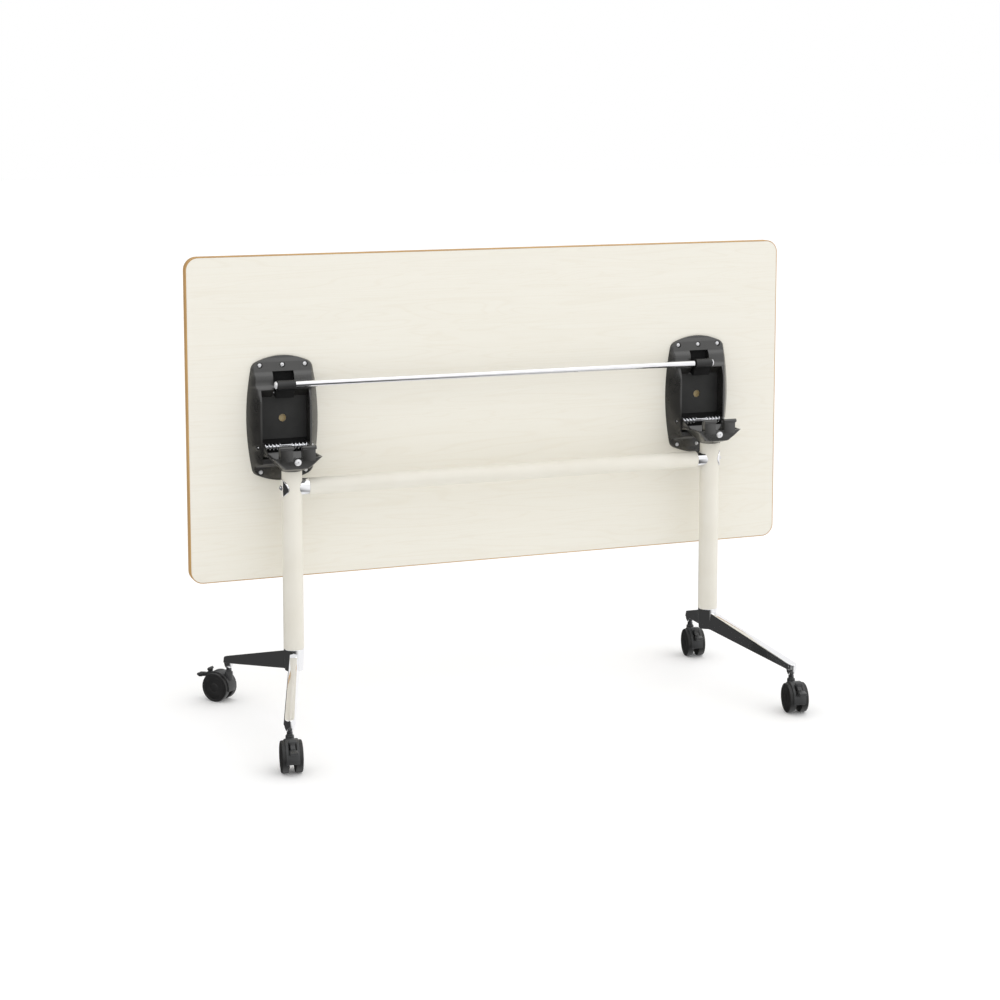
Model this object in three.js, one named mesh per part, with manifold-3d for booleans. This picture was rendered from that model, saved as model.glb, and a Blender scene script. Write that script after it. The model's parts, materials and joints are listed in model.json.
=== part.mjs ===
// A flip top training table, folded: its top stands upright behind two wheeled columns.
// Millimetres, +Z up, +X along the top. The underside of the folded top faces -Y.
import * as THREE from "three";
import { mergeVertices } from "three/addons/utils/BufferGeometryUtils.js";
import Module from "manifold-3d";

const wasm = await Module();
wasm.setup();

// Fits
const fit = 0.3; // between pieces that are fixed to each other
const runningFit = 0.6; // beside pieces that turn

// Work top
const topLength = 1600;
const topWidth = 800;
const topThickness = 25;
const topCornerRadius = 32;
const edgeBandThickness = 2;
const workHeight = 750; // work surface over the floor when the top lies flat

// Flip pivot
const pivotDrop = 28; // pivot under the underside of the flat top
const pivotSetback = 54; // pivot behind the column axis
const pivotToTopCentre = 67; // from the pivot to the middle of the top's width
const pivotPinRadius = 5;
const pivotPinProud = 0.6; // pin's ends outside the bracket's skirt

// Columns and crossbar
const columnInset = 235; // column axis inside the top's end
const columnRadius = 25;
const columnWall = 2.5;
const headHeight = 51; // from the column's upper end to the pivot
const crossbarDrop = 93; // crossbar axis under the pivot
const crossbarRadius = 21;
const crossbarWall = 2;
const saddleNeck = 16; // saddle between the crossbar's end and the column's nearest line
const saddleSpigot = 30;
const outerCapRadius = 20;
const outerCapProud = 2.8; // outer cap's face beyond the column's wall
const tieBoltRadius = 4;
const tieBoltHeadRadius = 6.5;
const tieBoltHeadHeight = 3.5;

// Hinge brackets
const bracketLength = 310;
const bracketMidHalf = 90.5; // half width at the middle of the barrel outline
const bracketEndHalf = 78; // half width at the ends
const bracketArch = 16; // rise of the arched ends
const bracketCorner = 14;
const bracketSoft = 2; // how far the corners' drawing points stand in from the sides
const bracketDepth = 38;
const bracketCrestHalf = 66; // half width over the crests of the side walls
const bracketPlate = 8; // thickness of the end plates
const crestEnd = 46; // upper end of the crest, from the bracket's middle
const shoulderDepth = 29; // shoulder's depth where the pocket's upper wall meets it
const stepDepth = 20; // depth over the soft step down to the upper end plate
const stepEnd = 104; // upper edge of that step, from the bracket's middle
const stepLength = 10;
const crestSoft = 1; // sag of the curves beside the crest and the shoulder
const pocketLean = 20; // lean of the pocket's upper wall
const pocketHalf = 60;
const pocketFloor = 4;
const springFloor = 2;
const pocketBelowPivot = 28;
const floorHoleRadius = 9.5;
const screwRow = 132;
const screwPitch = 57;
const screwRecessRadius = 7;
const screwRecessDepth = 3;

// Column heads
const headFront = 60; // front of the rim, before the column axis
const rimHalf = 62;
const rimClearance = 1; // rim under the bracket's crest when the top lies flat
const rimBackGap = 4; // rim behind the crest when the top is folded
const rimCorner = 6;
const headWall = 4.5;
const dishDepth = 22;
const dishFootHalf = 30;
const headSpigot = 24;
const earThickness = 3.7;
const earRadius = 11;
const lugInner = 12;
const lugOuter = 44;
const lugDepth = 18;
const beadRadius = 5;
const beadOverhang = 1.5; // bead beyond each side of its lug
const beadRise = 13; // strike bead over the pivot
const stopPadHalf = 18;
const stopPadRise = 10; // pad's lower edge over the column's upper end
const stopPadHeight = 16;
const headBoltDrop = 22; // under the pivot
const headBoltSeatDepth = 3.5; // behind the rim's front
const headBoltRadius = 4;
const headBoltHeadRadius = 8.5;
const headBoltHeadHeight = 5.5;
const headBoltLength = 16;

// Torsion springs
const springWireRadius = 2;
const springBarHalf = 14.5;
const springTurns = 4 + 1 / 6;
const springStepsPerTurn = 8;
const springSides = 5;
const springBarAngle = Math.PI / 3;

// Pull bar and latches
const pullBarRadius = 8;
const pullBarStandoff = 39; // bar's axis before the underside
const pullBarAbovePivot = 153;
const pullBarProud = 1; // bar's end beyond the sleeve's end
const sleeveRadius = 11.5;
const leverWidth = 46;
const notchSideGap = 3.6; // beside the lever
const notchHeight = 63.5;
const notchFloor = 3;
const latchPinRadius = 3;
const latchPinDepth = 9; // latch pin's axis before the underside
const latchPinAbovePocket = 10.5;
const latchPinReach = 6; // into each wall of the notch
const leverBossRadius = 5.4;
const hookLow = 20; // hook's face, before the underside
const hookHigh = 29;
const hookBevel = 3;
const barScrewHeadRadius = 8;
const barScrewHeadHeight = 5;
const barScrewRadius = 3;
const barScrewLength = 14;

// Feet
const hubHeight = 54;
const hubRise = 53; // hub's lower end over the arm tips' lower end
const hubFootRadius = 22.5;
const hubSpigot = 40;
const footSpread = 578; // between the two stems of a foot
const footSplay = 93; // stems outside the column axis
const armWidth = 25;
const armRootDrop = 10; // arm's upper edge under the hub's upper end
const armTipHeight = 23;
const armTipRadius = 15;
const armTipInset = 1;
const armTipSoft = 5; // soft upper edge
const stemSocketRoof = 4;
const footBoltRadius = 5;
const footBoltHeadRadius = 8;
const footBoltHeadHeight = 8;
const footBoltLength = 70;

// Casters
const wheelRadius = 37.5;
const wheelWidth = 18;
const wheelGap = 14.4;
const wheelBoreDepth = 13;
const wheelEdge = 2.5;
const faceDish = 0.4; // rim's lip inside the middle of the face
const rimGroove = 1.4;
const axleRadius = 3;
const casterTrail = 30;
const neckRadius = 12;
const neckRise = 15; // neck's upper end over the wheels
const stemShow = 7; // between the neck and the foot
const stemRadius = 5.5;
const stemCollarRadius = 9.5;
const stemCollarHeight = 3;
const stemInNeck = 26;
const neckFloor = 6;
const hoodHalf = 16;
const hoodThickness = 2.7;
const hoodFrontAngle = THREE.MathUtils.degToRad(193);
const hoodBackAngle = THREE.MathUtils.degToRad(-13);
const hoodBossRadius = 9;
const brakePivotReach = 31; // from the axle
const brakePivotAngle = THREE.MathUtils.degToRad(52);
const brakeBossRadius = 4;
const brakeStemHalf = 5.5;
const brakePedalHalf = 9.4;
const brakeSlotTurns = [-1.05, 0.5]; // the slot's sides, in radians about the brake's pivot
const pedalReach = 68; // from the axle to the tip that is pressed
const pedalPad = 15.3; // length of the wide pad at that tip
const releaseReach = 53; // from the axle to the tip that frees the wheels
const releasePad = 6.5;
// Plan direction of each caster's trail, as it stands
const trailSquare = new THREE.Vector2(-0.16, -0.99);
const trailTurned = new THREE.Vector2(-0.66, 0.75);

// Places that follow from the sizes
const pivotZ = workHeight - topThickness - pivotDrop;
const undersideY = pivotSetback + pivotDrop;
const topCentreZ = pivotZ + pivotToTopCentre;
const columnX = topLength / 2 - columnInset;
const columnTopZ = pivotZ - headHeight;
const crossbarZ = pivotZ - crossbarDrop;
const neckTopZ = 2 * wheelRadius + neckRise;
const armTipZ = neckTopZ + stemShow;
const hubZ = armTipZ + hubRise;
const columnFootZ = hubZ + hubHeight;
const crestFoldedY = undersideY - bracketDepth;
const rimZ = pivotZ + pivotDrop - bracketDepth - rimClearance;
const beadY = 1 - headFront;
const beadZ = pivotZ + beadRise;
// The strike bead's furthest point sweeps this circle about the pivot.
const beadSweep = Math.hypot(pivotSetback - beadY, beadRise) + beadRadius;
const pocketTop = beadSweep + 3 * runningFit - pivotToTopCentre;
const pocketBottom = -pivotToTopCentre - pocketBelowPivot;
const latchPinV = pocketTop + latchPinAbovePocket;
const pullBarV = pullBarAbovePivot - pivotToTopCentre;
const notchHalf = leverWidth / 2 + notchSideGap;
const earOuter = pocketHalf - runningFit;
const earInner = earOuter - earThickness;

// Materials
const finishes = {
  maple: { color: 0xebe6d9, roughness: 0.5, metalness: 0 },
  ply: { color: 0xc58f4e, roughness: 0.55, metalness: 0 },
  casting: { color: 0x35322f, roughness: 0.5, metalness: 0.1 },
  polished: { color: 0xdcdde0, roughness: 0.15, metalness: 1 },
  cream: { color: 0xe3dfd4, roughness: 0.35, metalness: 0 },
  chrome: { color: 0xe8e8ea, roughness: 0.12, metalness: 1 },
  steel: { color: 0xb9bcc0, roughness: 0.3, metalness: 1 },
  plastic: { color: 0x242424, roughness: 0.45, metalness: 0 },
};

function piece(name, geometry, finish) {
  const mesh = new THREE.Mesh(geometry, new THREE.MeshStandardMaterial(finishes[finish]));
  mesh.name = name;
  return mesh;
}

// Closed solids: joins, cuts and common parts

function bare(geometry) {
  const copy = geometry.clone();
  copy.deleteAttribute("normal");
  copy.deleteAttribute("uv");
  return mergeVertices(copy, 1e-4);
}

function solidOf(geometry) {
  const merged = bare(geometry);
  const vertProperties = new Float32Array(merged.attributes.position.array);
  const triVerts = new Uint32Array(merged.index.array);
  return new wasm.Manifold(new wasm.Mesh({ numProp: 3, vertProperties, triVerts }));
}

function geometryOf(solid) {
  const mesh = solid.getMesh();
  const geometry = new THREE.BufferGeometry();
  geometry.setAttribute("position", new THREE.BufferAttribute(mesh.vertProperties, 3));
  geometry.setIndex(new THREE.BufferAttribute(mesh.triVerts, 1));
  return geometry;
}

function join(first, ...others) {
  return geometryOf(others.reduce((whole, other) => whole.add(solidOf(other)), solidOf(first)));
}

function cut(first, ...others) {
  return geometryOf(others.reduce((whole, other) => whole.subtract(solidOf(other)), solidOf(first)));
}

function common(first, second) {
  return geometryOf(solidOf(first).intersect(solidOf(second)));
}

// Turns a closed surface right side out.
function outward(geometry) {
  const merged = bare(geometry);
  const place = merged.attributes.position;
  const index = merged.index.array;
  const a = new THREE.Vector3();
  const b = new THREE.Vector3();
  const c = new THREE.Vector3();
  let volume = 0;
  for (let i = 0; i < index.length; i += 3) {
    a.fromBufferAttribute(place, index[i]);
    b.fromBufferAttribute(place, index[i + 1]);
    c.fromBufferAttribute(place, index[i + 2]);
    volume += a.dot(b.cross(c));
  }
  if (volume < 0) {
    for (let i = 0; i < index.length; i += 3) {
      const first = index[i];
      index[i] = index[i + 1];
      index[i + 1] = first;
    }
  }
  return merged;
}

// Shapes

// A straight prism on a profile drawn in X and Y, from z = low to z = high.
function prism(shape, low, high, curveSegments = 6) {
  const geometry = new THREE.ExtrudeGeometry(shape, {
    depth: high - low,
    bevelEnabled: false,
    curveSegments,
  });
  return geometry.translate(0, 0, low);
}

// The same on a profile drawn in Y and Z, from x = low to x = high.
function across(shape, low, high, curveSegments = 6) {
  const turn = new THREE.Matrix4().makeBasis(
    new THREE.Vector3(0, 1, 0),
    new THREE.Vector3(0, 0, 1),
    new THREE.Vector3(1, 0, 0),
  );
  return prism(shape, low, high, curveSegments).applyMatrix4(turn);
}

function block(x0, x1, y0, y1, z0, z1) {
  const geometry = new THREE.BoxGeometry(x1 - x0, y1 - y0, z1 - z0);
  return geometry.translate((x0 + x1) / 2, (y0 + y1) / 2, (z0 + z1) / 2);
}

function roundX(radius, x0, x1, y, z, sides = 24) {
  const geometry = new THREE.CylinderGeometry(radius, radius, x1 - x0, sides);
  return geometry.rotateZ(Math.PI / 2).translate((x0 + x1) / 2, y, z);
}

function roundY(radius, y0, y1, x, z, sides = 24) {
  const geometry = new THREE.CylinderGeometry(radius, radius, y1 - y0, sides);
  return geometry.translate(x, (y0 + y1) / 2, z);
}

function roundZ(radius, z0, z1, x = 0, y = 0, sides = 24) {
  const geometry = new THREE.CylinderGeometry(radius, radius, z1 - z0, sides);
  return geometry.rotateX(Math.PI / 2).translate(x, y, (z0 + z1) / 2);
}

// A solid of revolution about Z, from pairs of radius and height.
function revolve(profile, sides = 20) {
  const points = profile.map(([radius, height]) => new THREE.Vector2(radius, height));
  return outward(new THREE.LatheGeometry(points, sides).rotateX(Math.PI / 2));
}

// A skin over rings of equally many points, closed by a flat cap at each end.
function loft(rings) {
  const count = rings[0].length;
  const index = [];
  rings.slice(1).forEach((ring, level) => {
    for (let i = 0; i < count; i += 1) {
      const low = level * count + i;
      const next = level * count + ((i + 1) % count);
      index.push(low, next, next + count, low, next + count, low + count);
    }
  });
  const last = (rings.length - 1) * count;
  for (let i = 1; i < count - 1; i += 1) {
    index.push(0, i + 1, i, last, last + i, last + i + 1);
  }
  const geometry = new THREE.BufferGeometry().setFromPoints(rings.flat());
  geometry.setIndex(index);
  return outward(geometry);
}

function roundedRectangle(width, height, radius) {
  const shape = new THREE.Shape();
  const x = width / 2;
  const y = height / 2;
  shape.absarc(x - radius, y - radius, radius, 0, Math.PI / 2);
  shape.absarc(radius - x, y - radius, radius, Math.PI / 2, Math.PI);
  shape.absarc(radius - x, radius - y, radius, Math.PI, 1.5 * Math.PI);
  shape.absarc(x - radius, radius - y, radius, 1.5 * Math.PI, 2 * Math.PI);
  shape.closePath();
  return shape;
}

// A button-headed bolt along +Z: its head's seat is at z = 0 and its shank points down.
function buttonBolt(headRadius, headHeight, shankRadius, shankLength, sides = 16) {
  return revolve(
    [
      [0, -shankLength],
      [shankRadius, -shankLength],
      [shankRadius, 0],
      [headRadius, 0],
      [headRadius, 0.3 * headHeight],
      [0.82 * headRadius, 0.75 * headHeight],
      [0.45 * headRadius, headHeight],
      [0, headHeight],
    ],
    sides,
  );
}

// The top, in its own frame: x along the top, y up the folded top, z out of the underside

function boardGeometry() {
  const inset = 2 * (edgeBandThickness + fit);
  const outline = roundedRectangle(
    topLength - inset,
    topWidth - inset,
    topCornerRadius - edgeBandThickness - fit,
  );
  return prism(outline, -topThickness, 0, 5);
}

function edgeBandGeometry() {
  const outline = roundedRectangle(topLength, topWidth, topCornerRadius);
  const inset = 2 * edgeBandThickness;
  const inner = roundedRectangle(
    topLength - inset,
    topWidth - inset,
    topCornerRadius - edgeBandThickness,
  );
  outline.holes.push(inner);
  return prism(outline, -topThickness, 0, 5);
}

// Barrel outline: bowed sides, arched ends and soft corners
function bracketOutline() {
  const endY = bracketLength / 2 - bracketArch;
  const bowX = 2 * bracketMidHalf - bracketEndHalf;
  const archY = bracketLength / 2 + bracketArch;
  const sideY = endY - bracketCorner;
  const endX = bracketEndHalf - bracketCorner;
  const shape = new THREE.Shape();
  const cornerX = bracketEndHalf - bracketSoft;
  const cornerY = endY - 1.6 * bracketSoft;
  const archStart = endY + bracketSoft;
  const archTop = archY - bracketSoft;
  shape.moveTo(bracketEndHalf, -sideY);
  shape.quadraticCurveTo(bowX, 0, bracketEndHalf, sideY);
  shape.quadraticCurveTo(cornerX, cornerY, endX, archStart);
  shape.quadraticCurveTo(0, archTop, -endX, archStart);
  shape.quadraticCurveTo(-cornerX, cornerY, -bracketEndHalf, sideY);
  shape.quadraticCurveTo(-bowX, 0, -bracketEndHalf, -sideY);
  shape.quadraticCurveTo(-cornerX, -cornerY, -endX, -archStart);
  shape.quadraticCurveTo(0, -archTop, endX, -archStart);
  shape.quadraticCurveTo(cornerX, -cornerY, bracketEndHalf, -sideY);
  return shape;
}

// Side view of a bracket: end plates, a soft step and shoulder above the pocket, and the crest
function bracketSide() {
  const reach = bracketLength;
  const crestLow = pocketBottom - stepLength;
  const shoulderV = pocketTop + pocketLean;
  const middleV = (shoulderV + stepEnd) / 2;
  const stepV = stepEnd + stepLength;
  const shape = new THREE.Shape();
  shape.moveTo(-reach, 0);
  shape.lineTo(reach, 0);
  shape.lineTo(reach, bracketPlate);
  shape.lineTo(stepV, bracketPlate);
  shape.bezierCurveTo(
    stepEnd + 0.3 * stepLength,
    bracketPlate,
    stepEnd + 0.6 * stepLength,
    stepDepth,
    stepEnd,
    stepDepth,
  );
  shape.quadraticCurveTo(middleV, shoulderDepth - crestSoft, shoulderV, shoulderDepth);
  shape.quadraticCurveTo(crestEnd + 0.9 * stepLength, bracketDepth - crestSoft, crestEnd, bracketDepth);
  shape.lineTo(crestLow, bracketDepth);
  shape.bezierCurveTo(
    crestLow - stepLength,
    bracketDepth,
    crestLow - stepLength / 2,
    bracketPlate,
    crestLow - 1.5 * stepLength,
    bracketPlate,
  );
  shape.lineTo(-reach, bracketPlate);
  shape.closePath();
  return shape;
}

// The pocket's side view: straight lower wall, leaning upper wall
function pocketSide(over) {
  const lean = pocketLean / (shoulderDepth - pocketFloor);
  const shape = new THREE.Shape();
  shape.moveTo(pocketBottom, pocketFloor);
  shape.lineTo(pocketTop, pocketFloor);
  shape.lineTo(pocketTop + lean * (over - pocketFloor), over);
  shape.lineTo(pocketBottom, over);
  shape.closePath();
  return shape;
}

function bracketGeometry() {
  const whole = prism(bracketOutline(), 0, bracketDepth);
  const place = whole.attributes.position;
  const lean = 1 - bracketCrestHalf / bracketMidHalf;
  for (let i = 0; i < place.count; i += 1) {
    place.setX(i, place.getX(i) * (1 - (lean * place.getZ(i)) / bracketDepth));
  }
  const body = common(whole, across(bracketSide(), -bracketMidHalf - 1, bracketMidHalf + 1, 4));
  const over = bracketDepth + 1;
  const springTop = -pivotToTopCentre + springWireRadius * 8;
  const screws = [-1, 0, 1].flatMap((column) =>
    [-1, 1].map((row) =>
      roundZ(
        screwRecessRadius,
        bracketPlate - screwRecessDepth,
        over,
        column * screwPitch,
        row * screwRow,
        10,
      ),
    ),
  );
  const notchTop = pocketTop + notchHeight;
  const pinHalf = notchHalf + latchPinReach + fit;
  return cut(
    body,
    across(pocketSide(over), -pocketHalf, pocketHalf),
    block(-pocketHalf, pocketHalf, pocketBottom, springTop, springFloor, over),
    block(-notchHalf, notchHalf, pocketTop - 1, notchTop, notchFloor, over),
    roundZ(floorHoleRadius, -1, over, 0, 0, 16),
    roundX(pivotPinRadius + fit, -bracketMidHalf, bracketMidHalf, -pivotToTopCentre, pivotDrop - fit, 16),
    roundX(latchPinRadius + fit, -pinHalf, pinHalf, latchPinV, latchPinDepth - fit, 12),
    ...screws,
  );
}

// Points along one half of the double spring, from the middle of its bar to the end of its leg,
// with the pin as the x axis
function springHalf() {
  const sag = Math.cos(Math.PI / springStepsPerTurn);
  const coilRadius = (pivotPinRadius + fit + springWireRadius) / sag;
  const end = earInner - runningFit - springWireRadius;
  const pitch = (end - springBarHalf) / springTurns;
  const steps = Math.round(springTurns * springStepsPerTurn);
  const onCoil = (x, angle) =>
    new THREE.Vector3(x, coilRadius * Math.cos(angle), coilRadius * Math.sin(angle));
  const points = [onCoil(0, springBarAngle)];
  for (let i = 0; i <= steps; i += 1) {
    const turn = (i / steps) * springTurns;
    points.push(onCoil(springBarHalf + pitch * turn, springBarAngle - 2 * Math.PI * turn));
  }
  points.push(new THREE.Vector3(end, coilRadius, springFloor + 2 * fit - pivotDrop));
  return points;
}

function springRoute() {
  const right = springHalf();
  const left = right.slice(1).reverse();
  return left.map((p) => new THREE.Vector3(-p.x, p.y, p.z)).concat(right);
}

// One unbroken wire: a ring of points round each point of the route
function springGeometry() {
  const route = springRoute();
  const rings = route.map((point, i) => {
    const before = route[Math.max(i - 1, 0)];
    const after = route[Math.min(i + 1, route.length - 1)];
    const along = after.clone().sub(before).normalize();
    const radial = new THREE.Vector3(0, point.y, point.z);
    const side = radial.sub(along.clone().multiplyScalar(radial.dot(along))).normalize();
    const third = along.clone().cross(side);
    return Array.from({ length: springSides }, (_, k) => {
      const angle = (2 * Math.PI * k) / springSides;
      const out = side.clone().multiplyScalar(springWireRadius * Math.cos(angle));
      return point.clone().add(out).addScaledVector(third, springWireRadius * Math.sin(angle));
    });
  });
  return loft(rings);
}

// Least gap of the wire to itself, between stretches more than half a turn apart
function springSelfGap() {
  const route = springRoute();
  const apart = springStepsPerTurn / 2;
  let least = Infinity;
  route.forEach((point, i) => {
    route.slice(i + apart + 1).forEach((other) => {
      least = Math.min(least, point.distanceTo(other) - 2 * springWireRadius);
    });
  });
  return least;
}

// The latch lever: boss on its pin, hook towards the pocket, and sleeve round the pull bar
function leverGeometry() {
  const half = leverWidth / 2;
  const tip = pocketTop - 2 * runningFit;
  const boss = latchPinDepth - fit;
  const web = new THREE.Shape();
  web.moveTo(latchPinV - leverBossRadius, boss);
  web.lineTo(tip + hookBevel / 3, hookLow);
  web.lineTo(tip, hookLow + hookBevel);
  web.lineTo(tip, hookHigh);
  web.lineTo(latchPinV, hookHigh + hookBevel);
  web.lineTo(pullBarV - sleeveRadius, pullBarStandoff);
  web.lineTo(pullBarV + 0.6 * sleeveRadius, pullBarStandoff - 0.8 * sleeveRadius);
  web.lineTo(latchPinV + 0.8 * leverBossRadius, boss - 0.6 * leverBossRadius);
  web.closePath();
  return cut(
    join(
      across(web, -half, half),
      roundX(leverBossRadius, -half, half, latchPinV, boss, 16),
      roundX(sleeveRadius, -half, half, pullBarV, pullBarStandoff),
    ),
    roundX(latchPinRadius + fit, -half - 1, half + 1, latchPinV, boss, 12),
    roundX(pullBarRadius + fit, -half - 1, half + 1, pullBarV, pullBarStandoff),
  );
}

function latchPinGeometry() {
  const half = notchHalf + latchPinReach;
  return roundX(latchPinRadius, -half, half, latchPinV, latchPinDepth - fit, 12);
}

// The bar runs just through the sleeves, to the screws' heads.
const pullBarHalf = columnX + leverWidth / 2 + pullBarProud;

function pullBarGeometry() {
  const bar = roundX(pullBarRadius, -pullBarHalf, pullBarHalf, pullBarV, pullBarStandoff);
  const bore = barScrewRadius + fit;
  const depth = barScrewLength + 2;
  return cut(
    bar,
    roundX(bore, pullBarHalf - depth, pullBarHalf + 1, pullBarV, pullBarStandoff, 12),
    roundX(bore, -pullBarHalf - 1, depth - pullBarHalf, pullBarV, pullBarStandoff, 12),
  );
}

function barScrew(side) {
  const bolt = buttonBolt(barScrewHeadRadius, barScrewHeadHeight, barScrewRadius, barScrewLength, 12);
  bolt.rotateY((side * Math.PI) / 2);
  return bolt.translate(side * (pullBarHalf + fit), pullBarV, pullBarStandoff);
}

// The frame, in the table's own frame; each column's pieces stand round x = 0

function columnGeometry() {
  const inner = columnRadius - columnWall;
  const tube = revolve(
    [
      [inner, columnFootZ],
      [columnRadius, columnFootZ],
      [columnRadius, columnTopZ],
      [inner, columnTopZ],
      [inner, columnFootZ],
    ],
    28,
  );
  return cut(tube, roundX(tieBoltRadius + fit, -columnRadius - 1, columnRadius + 1, 0, crossbarZ, 12));
}

// A ring with four round corners, for the head's loft
function headRing(half, front, back, height, corner = rimCorner) {
  const centres = [
    [half - corner, back - corner],
    [corner - half, back - corner],
    [corner - half, corner - front],
    [half - corner, corner - front],
  ];
  const steps = 3;
  return centres.flatMap(([x, y], quarter) =>
    Array.from({ length: steps + 1 }, (_, i) => {
      const angle = ((quarter + i / steps) * Math.PI) / 2;
      return new THREE.Vector3(x + corner * Math.cos(angle), y + corner * Math.sin(angle), height);
    }),
  );
}

// The funnel flares from the column's outline to the rim, with a nearly flat front.
function funnel() {
  const back = crestFoldedY - rimBackGap;
  const rise = rimZ - columnTopZ;
  const blend = (low, high, share) => low + (high - low) * share;
  const ring = (share, wide, forward, corner) =>
    headRing(
      blend(columnRadius, rimHalf, wide),
      blend(columnRadius, headFront, forward),
      blend(columnRadius, back, wide),
      columnTopZ + share * rise,
      corner,
    );
  return loft([
    ring(0, 0, 0, 0.96 * columnRadius),
    ring(0.1, 0.07, 0.15, 0.85 * columnRadius),
    ring(0.28, 0.24, 0.74, 0.45 * columnRadius),
    ring(0.62, 0.58, 0.88),
    ring(1, 1, 1),
  ]);
}

function dish() {
  const back = crestFoldedY - rimBackGap - headWall;
  const low = 2 * headWall;
  return loft([
    headRing(dishFootHalf, headFront - 4 * headWall, back - 2 * low, rimZ - dishDepth),
    headRing(rimHalf - headWall, headFront - headWall, back, rimZ + 1),
  ]);
}

function headEar(low, high) {
  const ear = new THREE.Shape();
  ear.moveTo(0, rimZ);
  ear.lineTo(pivotSetback - 0.64 * earRadius, pivotZ + 0.77 * earRadius);
  ear.absarc(pivotSetback, pivotZ, earRadius, 0.72 * Math.PI, -0.33 * Math.PI, true);
  ear.lineTo(crestFoldedY - rimBackGap, rimZ - 2 * headWall);
  ear.lineTo(0, rimZ - headWall);
  ear.closePath();
  return across(ear, low, high, 7);
}

function headLug(low, high) {
  const lug = block(low, high, -headFront, lugDepth - headFront, rimZ - 2 * headWall, beadZ);
  return join(lug, roundX(beadRadius, low - beadOverhang, high + beadOverhang, beadY, beadZ, 10));
}

function headGeometry() {
  const boltZ = pivotZ - headBoltDrop;
  const seatY = headBoltSeatY();
  const spigotRadius = columnRadius - columnWall - fit;
  const stopLow = columnTopZ + stopPadRise;
  const shell = cut(funnel(), dish());
  const whole = join(
    shell,
    headEar(earInner, earOuter),
    headEar(-earOuter, -earInner),
    headLug(lugInner, lugOuter),
    headLug(-lugOuter, -lugInner),
    roundY(headBoltRadius + headWall, seatY + 1, seatY + headBoltLength + 2, 0, boltZ, 12),
    block(-stopPadHalf, stopPadHalf, 0, crestFoldedY - runningFit, stopLow, stopLow + stopPadHeight),
    roundZ(spigotRadius, columnTopZ - headSpigot, columnTopZ + 1, 0, 0, 16),
  );
  return cut(
    whole,
    roundY(headBoltHeadRadius + fit, -2 * headFront, seatY, 0, boltZ, 16),
    roundY(headBoltRadius + fit, seatY - 1, seatY + headBoltLength + 1, 0, boltZ, 10),
    roundX(pivotPinRadius + fit, -rimHalf, rimHalf, pivotSetback, pivotZ, 16),
  );
}

// The bolt's seat is a flat spot-face just behind the raked front.
function headBoltSeatY() {
  return headBoltSeatDepth - headFront;
}

function headBoltGeometry() {
  const bolt = buttonBolt(headBoltHeadRadius, headBoltHeadHeight, headBoltRadius, headBoltLength);
  return bolt.rotateX(Math.PI / 2).translate(0, headBoltSeatY() - fit, pivotZ - headBoltDrop);
}

function pivotPinGeometry() {
  const share = pivotToTopCentre / (bracketLength / 2 - bracketArch - bracketCorner);
  const outline = bracketMidHalf - (bracketMidHalf - bracketEndHalf) * share * share;
  const lean = 1 - bracketCrestHalf / bracketMidHalf;
  const half = outline * (1 - (lean * pivotDrop) / bracketDepth) + pivotPinProud;
  return roundX(pivotPinRadius, -half, half, pivotSetback, pivotZ, 16);
}

// Crossbar and saddles, along X

const crossbarHalf = columnX - columnRadius - saddleNeck;

function crossbarGeometry() {
  const inner = crossbarRadius - crossbarWall;
  const tube = revolve(
    [
      [inner, -crossbarHalf],
      [crossbarRadius, -crossbarHalf],
      [crossbarRadius, crossbarHalf],
      [inner, crossbarHalf],
      [inner, -crossbarHalf],
    ],
    24,
  );
  return tube.rotateY(Math.PI / 2).translate(0, 0, crossbarZ);
}

// side is -1 or 1: the way from the column to the piece.
function innerSaddleGeometry(side) {
  const face = columnRadius + saddleNeck - fit;
  const far = face + saddleSpigot;
  const collar = roundX(crossbarRadius, Math.min(0, side * face), Math.max(0, side * face), 0, crossbarZ);
  const plugRadius = crossbarRadius - crossbarWall - fit;
  const plug = roundX(plugRadius, Math.min(0, side * far), Math.max(0, side * far), 0, crossbarZ);
  const low = crossbarZ - 2 * crossbarRadius;
  const high = crossbarZ + 2 * crossbarRadius;
  return cut(
    join(collar, plug),
    roundZ(columnRadius + fit, low, high, 0, 0, 28),
    roundX(tieBoltRadius + fit, -far - 1, far + 1, 0, crossbarZ, 12),
  );
}

// The outer cap is a disc bent round the column.
function outerCapGeometry(side) {
  const outer = columnRadius + outerCapProud;
  const low = crossbarZ - 2 * outerCapRadius;
  const high = crossbarZ + 2 * outerCapRadius;
  const shell = cut(
    roundZ(outer, low, high, 0, 0, 40),
    roundZ(columnRadius + fit, low - 1, high + 1, 0, 0, 40),
  );
  const reach = side * 2 * outer;
  const disc = roundX(outerCapRadius, Math.min(0, reach), Math.max(0, reach), 0, crossbarZ);
  const bore = roundX(tieBoltRadius + fit, -2 * outer, 2 * outer, 0, crossbarZ, 12);
  return cut(common(shell, disc), bore);
}

function tieBoltGeometry(side) {
  const seat = columnRadius + outerCapProud + fit;
  const length = seat + columnRadius + saddleNeck + saddleSpigot - tieBoltRadius;
  const bolt = buttonBolt(tieBoltHeadRadius, tieBoltHeadHeight, tieBoltRadius, length, 12);
  return bolt.rotateY((side * Math.PI) / 2).translate(side * seat, 0, crossbarZ);
}

// A foot: hub and two arms; side is the sign of its splay along X

function stemPlaces(side) {
  return [-1, 1].map((end) => new THREE.Vector2(side * footSplay, (end * footSpread) / 2));
}

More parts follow.
